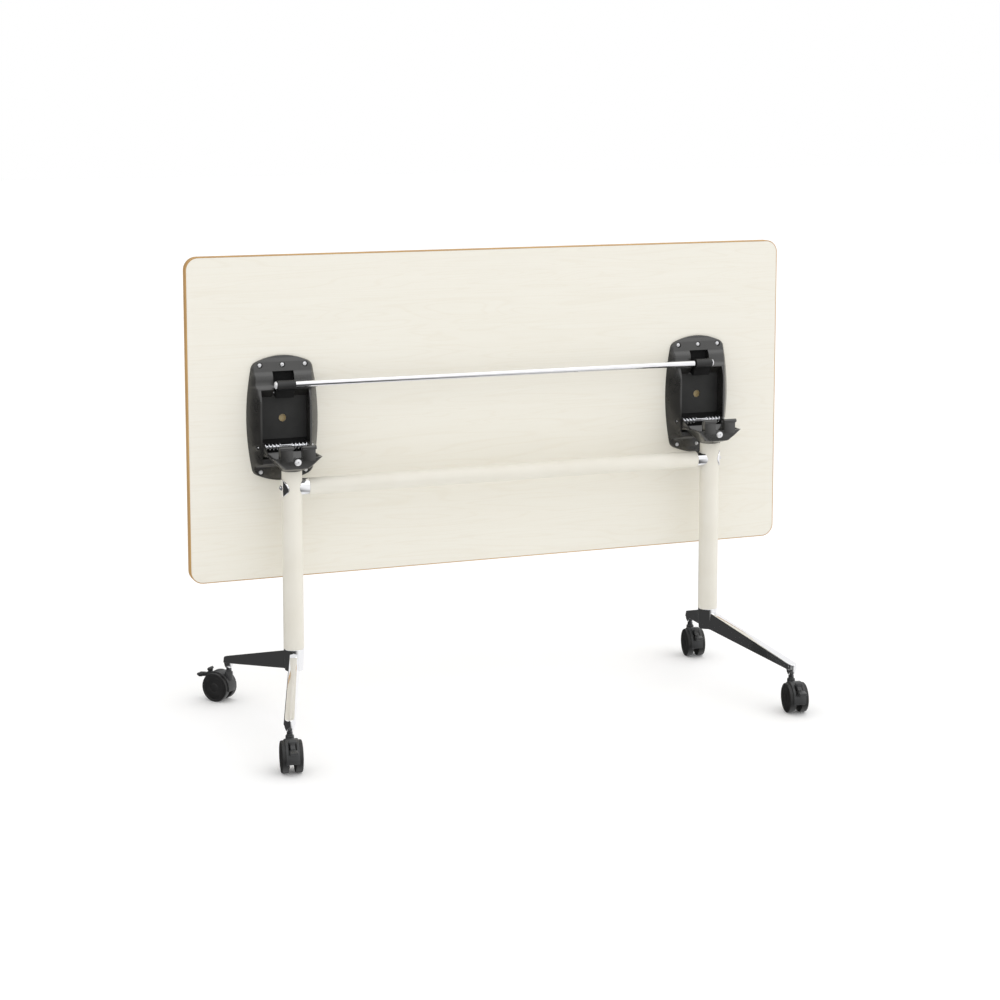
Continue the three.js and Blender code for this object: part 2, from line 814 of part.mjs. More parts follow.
function armGeometry(stem) {
  const length = stem.length();
  const tipTop = armTipZ + armTipHeight;
  const side = new THREE.Shape();
  side.moveTo(0, hubZ);
  side.lineTo(columnRadius, hubZ);
  side.lineTo(length - armTipRadius, armTipZ + 0.25 * armTipHeight);
  side.lineTo(length, armTipZ + 0.25 * armTipHeight);
  side.lineTo(length, tipTop);
  side.lineTo(length - armTipRadius, tipTop);
  side.lineTo(columnRadius, columnFootZ - armRootDrop);
  side.lineTo(0, columnFootZ - armRootDrop);
  side.closePath();
  return across(side, -armWidth / 2, armWidth / 2).rotateZ(Math.atan2(-stem.x, stem.y));
}

// The tip is turned round the stem, with a soft upper edge.
function armTip(stem) {
  const tipTop = armTipZ + armTipHeight;
  const radius = armTipRadius - armTipInset;
  const tip = revolve(
    [
      [0, armTipZ],
      [stemCollarRadius + 2 * armTipInset, armTipZ],
      [radius, armTipZ + 0.35 * armTipHeight],
      [radius, tipTop - armTipSoft],
      [radius - 0.3 * armTipSoft, tipTop - 0.3 * armTipSoft],
      [radius - armTipSoft, tipTop],
      [0, tipTop],
    ],
    16,
  );
  return tip.translate(stem.x, stem.y, 0);
}

function footGeometry(side) {
  const stems = stemPlaces(side);
  const hubTop = columnFootZ - fit;
  const hubProfile = [[0, hubZ], [hubFootRadius, hubZ], [columnRadius, hubTop], [0, hubTop]];
  const hub = revolve(hubProfile, 28);
  const spigotRadius = columnRadius - columnWall - fit;
  const spigot = roundZ(spigotRadius, hubZ + 1, columnFootZ + hubSpigot, 0, 0, 16);
  const boltTop = hubZ + footBoltHeadHeight + footBoltLength + 2;
  return cut(
    join(hub, spigot, ...stems.map(armGeometry), ...stems.map(armTip)),
    ...stems.map((stem) =>
      roundZ(stemRadius + fit, armTipZ - 1, armTipZ + armTipHeight - stemSocketRoof, stem.x, stem.y, 12),
    ),
    roundZ(footBoltHeadRadius + fit, hubZ - 1, hubZ + footBoltHeadHeight + 2 * fit, 0, 0, 12),
    roundZ(footBoltRadius + fit, hubZ, boltTop, 0, 0, 12),
  );
}

function footBoltGeometry() {
  const head = footBoltHeadHeight;
  const bolt = buttonBolt(footBoltHeadRadius, head, footBoltRadius, footBoltLength, 12);
  return bolt.rotateX(Math.PI).translate(0, 0, hubZ + head + fit);
}

// A caster, round its stem: x along the axle, y the way it trails

function polar(reach, angle) {
  return new THREE.Vector2(casterTrail + reach * Math.cos(angle), wheelRadius + reach * Math.sin(angle));
}

function hoodGeometry() {
  const outer = wheelRadius + runningFit + hoodThickness;
  const web = wheelGap / 2 - runningFit;
  const sector = new THREE.Shape();
  const back = polar(outer, hoodBackAngle);
  sector.moveTo(casterTrail, wheelRadius);
  sector.lineTo(back.x, back.y);
  sector.absarc(casterTrail, wheelRadius, outer, hoodBackAngle, hoodFrontAngle);
  sector.closePath();
  const pivot = polar(brakePivotReach, brakePivotAngle);
  const slot = new THREE.Shape();
  const slotReach = 2 * outer;
  slot.moveTo(pivot.x, pivot.y);
  brakeSlotTurns.forEach((turn) => {
    const corner = polar(slotReach, brakePivotAngle + turn);
    slot.lineTo(corner.x, corner.y);
  });
  slot.closePath();
  const slotHalf = brakePedalHalf + runningFit;
  const socket = brakeBossRadius + fit;
  const wheelRoom = wheelRadius + runningFit;
  const neckFoot = neckTopZ - stemInNeck - neckFloor;
  return cut(
    join(
      across(sector, -hoodHalf, hoodHalf, 12),
      roundX(hoodBossRadius, -web, web, casterTrail, wheelRadius, 12),
      roundZ(neckRadius, neckFoot, neckTopZ, 0, 0, 16),
    ),
    roundX(wheelRoom, web, 2 * hoodHalf, casterTrail, wheelRadius, 30),
    roundX(wheelRoom, -2 * hoodHalf, -web, casterTrail, wheelRadius, 30),
    roundX(socket, -hoodHalf - 1, hoodHalf + 1, pivot.x, pivot.y, 12),
    across(slot, -slotHalf, slotHalf),
    roundX(axleRadius + fit, -hoodHalf, hoodHalf, casterTrail, wheelRadius, 12),
    roundZ(stemRadius + fit, neckTopZ - stemInNeck, neckTopZ + 1, 0, 0, 12),
  );
}

function stemGeometry() {
  const collar = neckTopZ + runningFit;
  return revolve(
    [
      [0, neckTopZ - stemInNeck + fit],
      [stemRadius, neckTopZ - stemInNeck + fit],
      [stemRadius, collar],
      [stemCollarRadius, collar],
      [stemCollarRadius, collar + stemCollarHeight],
      [stemRadius, collar + stemCollarHeight],
      [stemRadius, armTipZ + armTipHeight - stemSocketRoof - fit],
      [0, armTipZ + armTipHeight - stemSocketRoof - fit],
    ],
    12,
  );
}

// A wheel on +X: bored from its inner face, with a shallow dish in its outer face
function wheelGeometry() {
  const bore = axleRadius + fit;
  const lip = wheelWidth - faceDish;
  const wheel = revolve([
    [0, wheelBoreDepth],
    [bore, wheelBoreDepth],
    [bore, 0],
    [wheelRadius - wheelEdge, 0],
    [wheelRadius, wheelEdge],
    [wheelRadius, wheelWidth - wheelEdge],
    [wheelRadius - 0.8 * wheelEdge, lip],
    [wheelRadius - 2 * wheelEdge, lip],
    [wheelRadius - 2.6 * wheelEdge, lip - rimGroove],
    [0, wheelWidth],
  ]);
  return wheel.rotateY(Math.PI / 2).translate(wheelGap / 2, casterTrail, wheelRadius);
}

function axleGeometry() {
  const half = wheelGap / 2 + wheelBoreDepth - fit;
  return roundX(axleRadius, -half, half, casterTrail, wheelRadius, 12);
}

// The brake lever: a boss in the hood's socket, a stem, a pedal and a release tab
function brakeGeometry() {
  const pivot = polar(brakePivotReach, brakePivotAngle);
  const clear = wheelRadius + hoodThickness + 2 * runningFit;
  const outline = (corners) => {
    const shape = new THREE.Shape();
    corners.forEach(([reach, degrees], i) => {
      const corner = polar(reach, THREE.MathUtils.degToRad(degrees));
      if (i === 0) shape.moveTo(corner.x, corner.y);
      else shape.lineTo(corner.x, corner.y);
    });
    shape.closePath();
    return shape;
  };
  const stem = outline([
    [brakePivotReach, 57],
    [brakePivotReach, 46],
    [clear + 4, 40],
    [clear + 4, 54],
  ]);
  const rocker = outline([
    [clear + 1, 57],
    [clear + 1, 30],
    [pedalReach - 8, 18],
    [pedalReach, 19],
    [pedalReach + 1, 23],
    [clear + 8, 36],
    [clear + 6, 48],
    [releaseReach, 54],
    [releaseReach + 1, 60],
    [releaseReach - 4, 62],
  ]);
  const pedal = outline([
    [pedalReach - pedalPad, 21.8],
    [pedalReach - 8, 18],
    [pedalReach, 19],
    [pedalReach + 1, 23],
    [pedalReach - pedalPad + 1.4, 31.8],
  ]);
  const release = outline([
    [releaseReach - 4, 51],
    [releaseReach, 54],
    [releaseReach + 1, 60],
    [releaseReach - 4, 62],
    [releaseReach - releasePad, 59.8],
  ]);
  return join(
    across(stem, -brakeStemHalf, brakeStemHalf),
    across(rocker, -brakeStemHalf, brakeStemHalf),
    across(pedal, -brakePedalHalf, brakePedalHalf),
    across(release, -brakePedalHalf, brakePedalHalf),
    roundX(brakeBossRadius, -brakeStemHalf, brakeStemHalf, pivot.x, pivot.y, 12),
  );
}

// Assembly

const table = new THREE.Group();

const top = new THREE.Group();
top.position.set(0, undersideY, topCentreZ);
top.rotation.x = Math.PI / 2;
table.add(top);
top.add(piece("tabletop_board", boardGeometry(), "maple"));
top.add(piece("edge_band", edgeBandGeometry(), "ply"));

const sides = { left: -1, right: 1 };
Object.entries(sides).forEach(([name, sign]) => {
  const hinge = new THREE.Group();
  hinge.position.set(sign * columnX, 0, fit);
  top.add(hinge);
  hinge.add(piece(`${name}_hinge_bracket`, bracketGeometry(), "casting"));
  hinge.add(piece(`${name}_latch_pin`, latchPinGeometry(), "steel"));

  const lever = new THREE.Group();
  lever.position.set(sign * columnX, 0, fit);
  top.add(lever);
  lever.add(piece(`${name}_latch_lever`, leverGeometry(), "plastic"));

  const spring = new THREE.Group();
  spring.position.set(sign * columnX, -pivotToTopCentre, pivotDrop);
  top.add(spring);
  spring.add(piece(`${name}_torsion_spring`, springGeometry(), "steel"));
});

const release = new THREE.Group();
release.position.z = fit;
top.add(release);
release.add(piece("pull_bar", pullBarGeometry(), "chrome"));
release.add(piece("left_bar_screw", barScrew(-1), "chrome"));
release.add(piece("right_bar_screw", barScrew(1), "chrome"));

table.add(piece("crossbar", crossbarGeometry(), "cream"));

Object.entries(sides).forEach(([name, sign]) => {
  const leg = new THREE.Group();
  leg.position.x = sign * columnX;
  table.add(leg);
  leg.add(piece(`${name}_column`, columnGeometry(), "cream"));
  leg.add(piece(`${name}_column_head`, headGeometry(), "casting"));
  leg.add(piece(`${name}_head_bolt`, headBoltGeometry(), "chrome"));
  leg.add(piece(`${name}_pivot_pin`, pivotPinGeometry(), "chrome"));
  leg.add(piece(`${name}_inner_saddle`, innerSaddleGeometry(-sign), "chrome"));
  leg.add(piece(`${name}_outer_cap`, outerCapGeometry(sign), "chrome"));
  leg.add(piece(`${name}_tie_bolt`, tieBoltGeometry(sign), "steel"));
  leg.add(piece(`${name}_foot`, footGeometry(sign), "polished"));
  leg.add(piece(`${name}_foot_bolt`, footBoltGeometry(), "steel"));

  stemPlaces(sign).forEach((place, back) => {
    const corner = `${back ? "back" : "front"}_${name}`;
    const trail = corner === "back_left" ? trailTurned : trailSquare;
    const caster = new THREE.Group();
    caster.position.set(place.x, place.y, 0);
    caster.rotation.z = Math.atan2(-trail.x, trail.y);
    leg.add(caster);
    caster.add(piece(`${corner}_caster_stem`, stemGeometry(), "steel"));
    caster.add(piece(`${corner}_caster_hood`, hoodGeometry(), "plastic"));
    caster.add(piece(`${corner}_caster_axle`, axleGeometry(), "steel"));
    caster.add(piece(`${corner}_caster_wheel_1`, wheelGeometry(), "plastic"));
    const second = piece(`${corner}_caster_wheel_2`, wheelGeometry().rotateZ(Math.PI), "plastic");
    second.position.y = 2 * casterTrail;
    caster.add(second);
    caster.add(piece(`${corner}_caster_brake`, brakeGeometry(), "plastic"));
  });
});

console.log(`spring wire's least gap to itself: ${springSelfGap().toFixed(2)} mm`);

// The origin is on the floor, under the middle of the table's plan box.
const plan = new THREE.Box3().setFromObject(table, true);
table.position.y = -(plan.min.y + plan.max.y) / 2;
table.updateMatrixWorld(true);

export default table;
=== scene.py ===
# %% [markdown]
# # A flip top training table, folded
#
# The table stands folded: its pale wood top hangs upright behind a cream frame on four casters.
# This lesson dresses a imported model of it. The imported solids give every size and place, and the
# pieces made here stand for them with smooth curves, soft edges and real finishes.

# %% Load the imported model
import json
import math

import bmesh
import bpy
import numpy as np
from mathutils import Matrix, Vector


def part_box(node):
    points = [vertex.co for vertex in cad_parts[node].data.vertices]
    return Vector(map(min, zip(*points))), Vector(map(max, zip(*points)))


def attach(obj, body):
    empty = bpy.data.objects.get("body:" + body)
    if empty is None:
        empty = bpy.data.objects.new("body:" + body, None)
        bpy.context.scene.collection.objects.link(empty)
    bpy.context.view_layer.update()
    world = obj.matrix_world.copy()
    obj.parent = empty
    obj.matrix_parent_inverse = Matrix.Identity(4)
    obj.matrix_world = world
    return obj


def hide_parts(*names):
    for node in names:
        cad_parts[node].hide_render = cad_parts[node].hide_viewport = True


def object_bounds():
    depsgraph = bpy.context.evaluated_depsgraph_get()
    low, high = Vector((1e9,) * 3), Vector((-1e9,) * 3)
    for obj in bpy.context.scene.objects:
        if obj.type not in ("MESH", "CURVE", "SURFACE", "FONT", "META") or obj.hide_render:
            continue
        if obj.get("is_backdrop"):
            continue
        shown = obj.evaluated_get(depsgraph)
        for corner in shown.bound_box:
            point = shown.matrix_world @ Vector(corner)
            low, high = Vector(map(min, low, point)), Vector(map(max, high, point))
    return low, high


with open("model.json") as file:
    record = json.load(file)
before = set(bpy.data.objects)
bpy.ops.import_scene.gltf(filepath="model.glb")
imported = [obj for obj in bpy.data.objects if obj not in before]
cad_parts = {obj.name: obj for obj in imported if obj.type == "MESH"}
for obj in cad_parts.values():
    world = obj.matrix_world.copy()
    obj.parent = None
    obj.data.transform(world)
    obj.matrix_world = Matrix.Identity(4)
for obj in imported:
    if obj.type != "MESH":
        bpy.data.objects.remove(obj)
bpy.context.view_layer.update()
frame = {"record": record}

MM = 0.001
record = frame["record"]
body_of_node = {
    node: body for body, nodes in record["behaviour"]["bodies"].items() for node in nodes
}

# %% [markdown]
# ## The camera
#
# The viewer stands in front and to the left, above the top's upper edge, with a long lens. A
# camera could be aimed by a constraint. Here its place and turn are written out, so that nothing
# moves it. A downward shift keeps the upright edges nearly parallel, as in a catalogue picture.

# %% Place the camera
EYE = (-1.9373, -4.9273, 1.5805)
LENS, SENSOR = 76.77, 36
SHIFT_DOWN = -0.15
HEADING = math.radians(21.198)
PITCH = math.radians(7.1557)

bpy.ops.object.select_all(action="DESELECT")
bpy.ops.object.camera_add(location=EYE, rotation=(math.pi / 2 - PITCH, 0, -HEADING))
camera = bpy.context.active_object
camera.name = "catalogue_camera"
camera.data.sensor_width = SENSOR
camera.data.lens = LENS
camera.data.shift_y = SHIFT_DOWN
camera.data.dof.use_dof = False
bpy.context.scene.camera = camera
print("camera", round(Vector(EYE).length, 2), "m from the origin, with a lens of", LENS, "mm")

# %% [markdown]
# ## Shader sums in plain Python
#
# A finish is a small graph of nodes. Writing it as sums keeps it readable: one class wraps a
# socket, and an operator on it adds a Math node. Every other node comes from its one `add` method.

# %% A socket that takes Python's operators
class Wire:
    """A socket in a node tree. Sums written with it add the nodes that work them out."""

    def __init__(self, tree, socket=None):
        self.tree = tree
        self.socket = socket

    def add(self, kind, inputs=None, settings=None, out=0):
        node = self.tree.nodes.new("ShaderNode" + kind)
        for key, value in (settings or {}).items():
            setattr(node, key, value)
        for key, value in (inputs or {}).items():
            if isinstance(value, Wire):
                self.tree.links.new(value.socket, node.inputs[key])
            else:
                node.inputs[key].default_value = value
        return Wire(self.tree, node.outputs[out] if node.outputs else None)

    def sum(self, operation, first, second):
        return self.add("Math", {0: first, 1: second}, {"operation": operation})

    def __add__(self, other):
        return self.sum("ADD", self, other)

    __radd__ = __add__

    def __mul__(self, other):
        return self.sum("MULTIPLY", self, other)

    __rmul__ = __mul__

    def __sub__(self, other):
        return self.sum("SUBTRACT", self, other)

    def __rsub__(self, other):
        return self.sum("SUBTRACT", other, self)

    def noise(self, stretch, scale, detail=3.0, distortion=0.0):
        place = self.add("TexCoord", out="Object")
        stretched = self.add("Mapping", {"Vector": place, "Scale": stretch})
        return self.add(
            "TexNoise",
            {"Vector": stretched, "Scale": scale, "Detail": detail, "Distortion": distortion},
        )

    def between(self, low, high, smooth=True):
        """0 up to low, 1 from high, and a ramp between them."""
        return self.add(
            "MapRange",
            {"Value": self, "From Min": low, "From Max": high},
            {"interpolation_type": "SMOOTHSTEP" if smooth else "LINEAR"},
        )

    def blend(self, first, second):
        """From the first colour at 0 to the second at 1."""
        ends = [end if isinstance(end, Wire) else (*end, 1) for end in (first, second)]
        return self.add("Mix", {0: self, 6: ends[0], 7: ends[1]}, {"data_type": "RGBA"}, out=2)

    def bump(self, strength, depth):
        return self.add("Bump", {"Strength": strength, "Distance": depth, "Height": self})


def new_finish(name, build, **fixed):
    """A material whose Principled shader takes fixed values and what build(wire) returns."""
    material = bpy.data.materials.new(name)
    material.use_nodes = True
    tree = material.node_tree
    tree.nodes.clear()
    inputs = dict(fixed)
    inputs.update(build(Wire(tree)))
    shader = Wire(tree).add("BsdfPrincipled", inputs)
    Wire(tree).add("OutputMaterial", {"Surface": shader})
    print("finish:", name, "with", len(tree.nodes), "nodes")
    return material


# %% [markdown]
# ## Finishes
#
# The top is pale maple laminate: nearly white wood whose grain runs along the top and hardly
# shows. A picture of wood would repeat. Noise that is stretched along the grain does not, at any
# size. Long streaks give the grain, a wider noise the slow change of tone, and tiny streaks the
# flecks.

# %% Maple laminate
PALE_MAPLE, DEEP_MAPLE = (0.875, 0.848, 0.762), (0.822, 0.776, 0.668)


def maple_nodes(wire):
    tone = wire.noise((0.5, 3.0, 3.0), 2.2, 2.0, 0.6)
    grain = wire.noise((1.2, 26.0, 26.0), 3.0, 5.0, 0.9)
    fleck = wire.noise((9.0, 160.0, 160.0), 4.0, 2.0).between(0.58, 0.72)
    figure = wire.noise((0.35, 5.0, 5.0), 3.4, 1.0, 1.6)
    ring = wire.sum("PINGPONG", figure * 9.0, 0.5).between(0.30, 0.5) * 0.5
    mark = tone * 0.20 + grain * 0.44 + ring * 0.40 + fleck * 0.18
    return {
        "Base Color": mark.between(0.2, 0.95, smooth=False).blend(PALE_MAPLE, DEEP_MAPLE),
        "Roughness": 0.44 + grain * 0.10,
        "Normal": (grain * 0.7 + fleck * 0.3).bump(0.05, 0.0004),
    }


maple = new_finish("maple_laminate", maple_nodes)

# %% [markdown]
# The edge band is a tan wood strip. Its streaks run along the band on every side, so they change
# only through the board's thickness, which is the Y axis here. The same streaks in a paler wood
# make the board's raw core, which shows in two small holes.

# %% Tan edge band and raw wood
def wood_nodes(pale, deep):
    def build(wire):
        streak = wire.noise((3.0, 700.0, 3.0), 1.0, 3.0, 0.3)
        tone = wire.noise((4.0, 4.0, 4.0), 1.5, 2.0)
        return {
            "Base Color": (streak * 0.7 + tone * 0.3).between(0.3, 0.7).blend(pale, deep),
            "Roughness": 0.42 + streak * 0.12,
            "Normal": streak.bump(0.1, 0.0003),
        }

    return build


edge_tan = new_finish("tan_edge_band", wood_nodes((0.66, 0.41, 0.16), (0.52, 0.295, 0.105)))
raw_wood = new_finish("raw_wood", wood_nodes((0.60, 0.50, 0.30), (0.52, 0.42, 0.23)))

# %% [markdown]
# Columns and crossbar have a cream powder coat: a semi-gloss skin with a very fine orange-peel
# ripple. The ripple is far too fine to model, so it is a bump of small even noise.

# %% Cream powder coat
EVEN = (1.0, 1.0, 1.0)
PALE_CREAM, DEEP_CREAM = (0.814, 0.785, 0.702), (0.785, 0.751, 0.662)


def cream_nodes(wire):
    peel = wire.noise(EVEN, 900.0, 2.0)
    tone = wire.noise(EVEN, 9.0, 2.0)
    return {
        "Base Color": tone.between(0.3, 0.7).blend(PALE_CREAM, DEEP_CREAM),
        "Roughness": 0.34 + peel * 0.10,
        "Normal": peel.bump(0.12, 0.0002),
    }


cream = new_finish("cream_powder_coat", cream_nodes)

# %% [markdown]
# Brackets and heads are die castings in black satin paint. The paint has a fine grain, is slightly
# duller in broad patches, and has a thin clear coat that catches the light. The plastics of the
# casters and latches are the same blacks without the coat, each with its own gloss. Two blacks
# are painted shade: a near-black matt one for the notches, the spring bays and the latch levers'
# bodies, and a dull one for the pockets' floors.

# %% Black satin paint and black plastics
def grey(level):
    return (level, level, level)


def black_nodes(dark, pale, gloss, grain_scale, depth=0.0002):
    def build(wire):
        grain = wire.noise(EVEN, grain_scale, 3.0)
        patch = wire.noise(EVEN, 28.0, 3.0)
        return {
            "Base Color": (patch * 0.6 + grain * 0.4).between(0.35, 0.65).blend(dark, pale),
            "Roughness": gloss + patch * 0.12 + grain * 0.06,
            "Normal": grain.bump(0.16, depth),
        }

    return build


casting = new_finish(
    "black_satin_casting",
    black_nodes((0.017, 0.0165, 0.015), (0.024, 0.023, 0.021), 0.20, 1500.0),
    **{"Specular IOR Level": 0.9, "Coat Weight": 0.25, "Coat Roughness": 0.06},
)
# A duller, less glossy black that paints shade on the pockets' floors.
painted_shade_casting = new_finish(
    "painted_shade_casting",
    black_nodes((0.026, 0.026, 0.0255), (0.034, 0.034, 0.033), 0.45, 1500.0),
    **{"Specular IOR Level": 0.3},
)
sleeve_black = new_finish(
    "black_moulded_plastic", black_nodes(grey(0.014), grey(0.022), 0.30, 1100.0)
)
hood_grey = new_finish(
    "charcoal_moulded_plastic",
    black_nodes((0.030, 0.031, 0.032), (0.042, 0.043, 0.044), 0.28, 1300.0, 0.00025),
)
# A near-black matt finish that paints shade: the deep shade of the notches, the spring bays and
# round the latch levers.
painted_shade_black = new_finish(
    "painted_shade_near_black", black_nodes(grey(0.002), grey(0.004), 0.8, 800.0, 0.0001)
)
wheel_black = new_finish(
    "black_wheel_plastic", black_nodes(grey(0.012), grey(0.018), 0.36, 1000.0)
)

# %% [markdown]
# The bright pieces are metals. The feet are polished castings with faint polishing clouds, the bar
# and saddles are chrome plate, and springs, pins and screws are zinc plated steel. They differ in
# colour and gloss alone, so one recipe makes them all.

# %% Polished and plated metals
def metal_nodes(pale, deep, gloss, spread, scale):
    def build(wire):
        cloud = wire.noise(EVEN, scale, 4.0, 0.4)
        return {
            "Base Color": cloud.between(0.3, 0.7).blend(pale, deep),
            "Roughness": gloss + cloud * spread,
            "Normal": cloud.bump(0.02, 0.0002),
        }

    return build


polished = new_finish(
    "polished_casting",
    metal_nodes((0.90, 0.90, 0.91), (0.885, 0.885, 0.90), 0.05, 0.06, 60.0),
    Metallic=1.0,
)
chrome = new_finish(
    "chrome_plate",
    metal_nodes((0.92, 0.92, 0.94), (0.88, 0.88, 0.90), 0.02, 0.05, 40.0),
    Metallic=1.0,
)
zinc = new_finish(
    "bright_zinc",
    metal_nodes((0.80, 0.81, 0.83), (0.70, 0.71, 0.74), 0.12, 0.12, 300.0),
    Metallic=1.0,
)
satin_zinc = new_finish(
    "satin_zinc",
    metal_nodes((0.86, 0.86, 0.87), (0.78, 0.78, 0.80), 0.30, 0.12, 300.0),
    Metallic=0.35,
)
dark_steel = new_finish(
    "dark_steel",
    metal_nodes((0.16, 0.16, 0.17), (0.11, 0.11, 0.12), 0.25, 0.15, 300.0),
    Metallic=1.0,
)

# %% [markdown]
# ## The workshop's tools
#
# Each piece starts as a primitive and is shaped with Blender's own operators. Operators act on all
# that is selected, so every step first selects just one piece. Sizes are written in millimetres.

# %% Select, name, place, copy
def only(piece=None):
    """Selects one piece, or nothing, in object mode."""
    if bpy.context.mode != "OBJECT":
        bpy.ops.object.mode_set(mode="OBJECT")
    bpy.ops.object.select_all(action="DESELECT")
    if piece:
        piece.select_set(True)
        bpy.context.view_layer.objects.active = piece
    return piece


def named(name):
    """Names the piece that was just made."""
    piece = bpy.context.active_object
    piece.name = name
    piece.data.name = name
    return piece


def placed(piece, turn=Matrix(), at=(0, 0, 0)):
    """Puts a piece modelled at the origin in its place, and keeps the place in its mesh."""
    only(piece)
    piece.matrix_world = Matrix.Translation(Vector(at) * MM) @ turn
    bpy.ops.object.transform_apply(location=True, rotation=True, scale=True)
    return piece


def copied(piece, name, turn=Matrix(), at=(0, 0, 0)):
    only(piece)
    bpy.ops.object.duplicate()
    return placed(named(name), turn, at)


# %% [markdown]
# Modifiers cut, join and round a piece. Each is applied at once, so a piece is always a plain
# mesh, and the tool that cut it is thrown away.

# %% Cut, join, round
def modified(piece, kind, **settings):
    only(piece)
    modifier = piece.modifiers.new(kind, kind)
    for key, value in settings.items():
        setattr(modifier, key, value)
    bpy.ops.object.modifier_apply(modifier=modifier.name)
    return piece


def carved(piece, *tools, operation="DIFFERENCE"):
    for tool in tools:
        modified(piece, "BOOLEAN", operation=operation, solver="EXACT", object=tool)
        bpy.data.objects.remove(tool)
    return piece


def welded(piece, *others):
    return carved(piece, *others, operation="UNION")


def smooth(piece, angle=32):
    """Shades the curves smooth and leaves the edges sharper than the angle."""
    only(piece)
    bpy.ops.object.shade_smooth_by_angle(angle=math.radians(angle))
    return piece


def softened(piece, width, segments=2, angle=32):
    """Rounds the sharp edges and shades the curves smooth."""
    modified(
        piece,
        "BEVEL",
        width=width * MM,
        segments=segments,
        limit_method="ANGLE",
        angle_limit=math.radians(angle),
        use_clamp_overlap=True,
        harden_normals=False,
    )
    return smooth(piece, angle)


# %% [markdown]
# Flat work comes from a drawing: a circle whose points are set on an outline, pulled to a
# thickness. A cube with its corners moved would do for a slab, but not for an outline with curves.

# %% Drawn plates
TO_X = Matrix(((0, 0, 1, 0), (1, 0, 0, 0), (0, 1, 0, 0), (0, 0, 0, 1)))
FACE_FRONT = Matrix.Rotation(math.pi / 2, 4, "X")


def drawn(name, points):
    """A flat face: a circle whose points are set on a drawing."""
    only()
    bpy.ops.mesh.primitive_circle_add(vertices=len(points), radius=MM, fill_type="NGON")
    piece = named(name)
    for vertex, point in zip(piece.data.vertices, points):
        vertex.co = Vector((*point, 0)[:3]) * MM
    return piece


def closed(piece):
    """Turns all faces outwards and leaves edit mode."""
    bpy.ops.mesh.select_all(action="SELECT")
    bpy.ops.mesh.normals_make_consistent(inside=False)
    bpy.ops.object.mode_set(mode="OBJECT")
    return piece


def plate(name, points, low, high):
    """A drawing pulled from z = low to z = high."""
    piece = only(drawn(name, points))
    bpy.ops.object.mode_set(mode="EDIT")
    bpy.ops.mesh.select_all(action="SELECT")
    bpy.ops.transform.translate(value=(0, 0, low * MM))
    bpy.ops.mesh.extrude_region_move(TRANSFORM_OT_translate={"value": (0, 0, (high - low) * MM)})
    return closed(piece)


def across(name, points, low, high):
    """The same with the drawing in Y and Z, pulled along X."""
    return placed(plate(name, points, low, high), TO_X)


def slab(name, x, y, z):
    return plate(name, [(x[0], y[0]), (x[1], y[0]), (x[1], y[1]), (x[0], y[1])], *z)


# %% [markdown]
# Round work is turned, as on a lathe: a disc is extruded and resized ring by ring. Work that
# changes its section along the way is lofted: the face of the first slice is pulled onto each next
# one.

# %% Turned and lofted pieces
def turned(name, profile, sides=64):
    """A turned piece about Z, from pairs of radius and height."""
    (radius, height), *rest = profile
    only()
    bpy.ops.mesh.primitive_circle_add(vertices=sides, radius=radius * MM, fill_type="NGON")
    piece = named(name)
    bpy.ops.object.mode_set(mode="EDIT")
    bpy.ops.mesh.select_all(action="SELECT")
    bpy.ops.transform.translate(value=(0, 0, height * MM))
    for wider, higher in rest:
        bpy.ops.mesh.extrude_region_move(
            TRANSFORM_OT_translate={"value": (0, 0, (higher - height) * MM)}
        )
        grow = wider / radius
        bpy.ops.transform.resize(value=(grow, grow, 1), center_override=(0, 0, 0))
        radius, height = wider, higher
    return closed(piece)


def bar(name, radius, low, high, ease=0.0, sides=64):
    """A round bar along Z with eased ends."""
    if not ease:
        return turned(name, [(radius, low), (radius, high)], sides)
    return turned(
        name,
        [
            (radius - ease, low),
            (radius - 0.3 * ease, low + 0.3 * ease),
            (radius, low + ease),
            (radius, high - ease),
            (radius - 0.3 * ease, high - 0.3 * ease),
            (radius - ease, high),
        ],
        sides,
    )


def bar_x(name, radius, low, high, y=0, z=0, ease=0.0, sides=64):
    """The same along X."""
    return placed(bar(name, radius, low, high, ease, sides), TO_X, (0, y, z))


def lofted(name, rings):
    """A skin over rings of equally many points."""
    piece = only(drawn(name, rings[0]))
    bpy.ops.object.mode_set(mode="EDIT")
    bpy.ops.mesh.select_all(action="SELECT")
    for before, after in zip(rings, rings[1:]):
        bpy.ops.mesh.extrude_region_move(TRANSFORM_OT_translate={"value": (0, 0, 0)})
        mesh = bmesh.from_edit_mesh(piece.data)
        old = [Vector(point) * MM for point in before]
        for vertex in [v for v in mesh.verts if v.select]:
            nearest = min(range(len(old)), key=lambda i: (old[i] - vertex.co).length_squared)
            vertex.co = Vector(after[nearest]) * MM
        bmesh.update_edit_mesh(piece.data)
    return closed(piece)


# %% [markdown]
# Outlines need points on curves and arcs. Worked out in code, they can share the sizes of the
# piece.

# %% Points on curves
def curve_points(*anchors, steps=10):
    """Points on a run of quadratic curves: a start, then pairs of control and end."""
    start, *rest = anchors
    points = [start]
    for control, end in zip(rest[::2], rest[1::2]):
        for i in range(1, steps + 1):
            t = i / steps
            points.append(
                tuple(
                    (1 - t) ** 2 * a + 2 * t * (1 - t) * b + t * t * c
                    for a, b, c in zip(start, control, end)
                )
            )
        start = end
    return points


def arc_points(centre, radius, start, stop, steps):
    """Points on an arc between two angles in degrees."""
    turns = (math.radians(start + (stop - start) * i / steps) for i in range(steps + 1))
    return [
        (centre[0] + radius * math.cos(turn), centre[1] + radius * math.sin(turn))
        for turn in turns
    ]


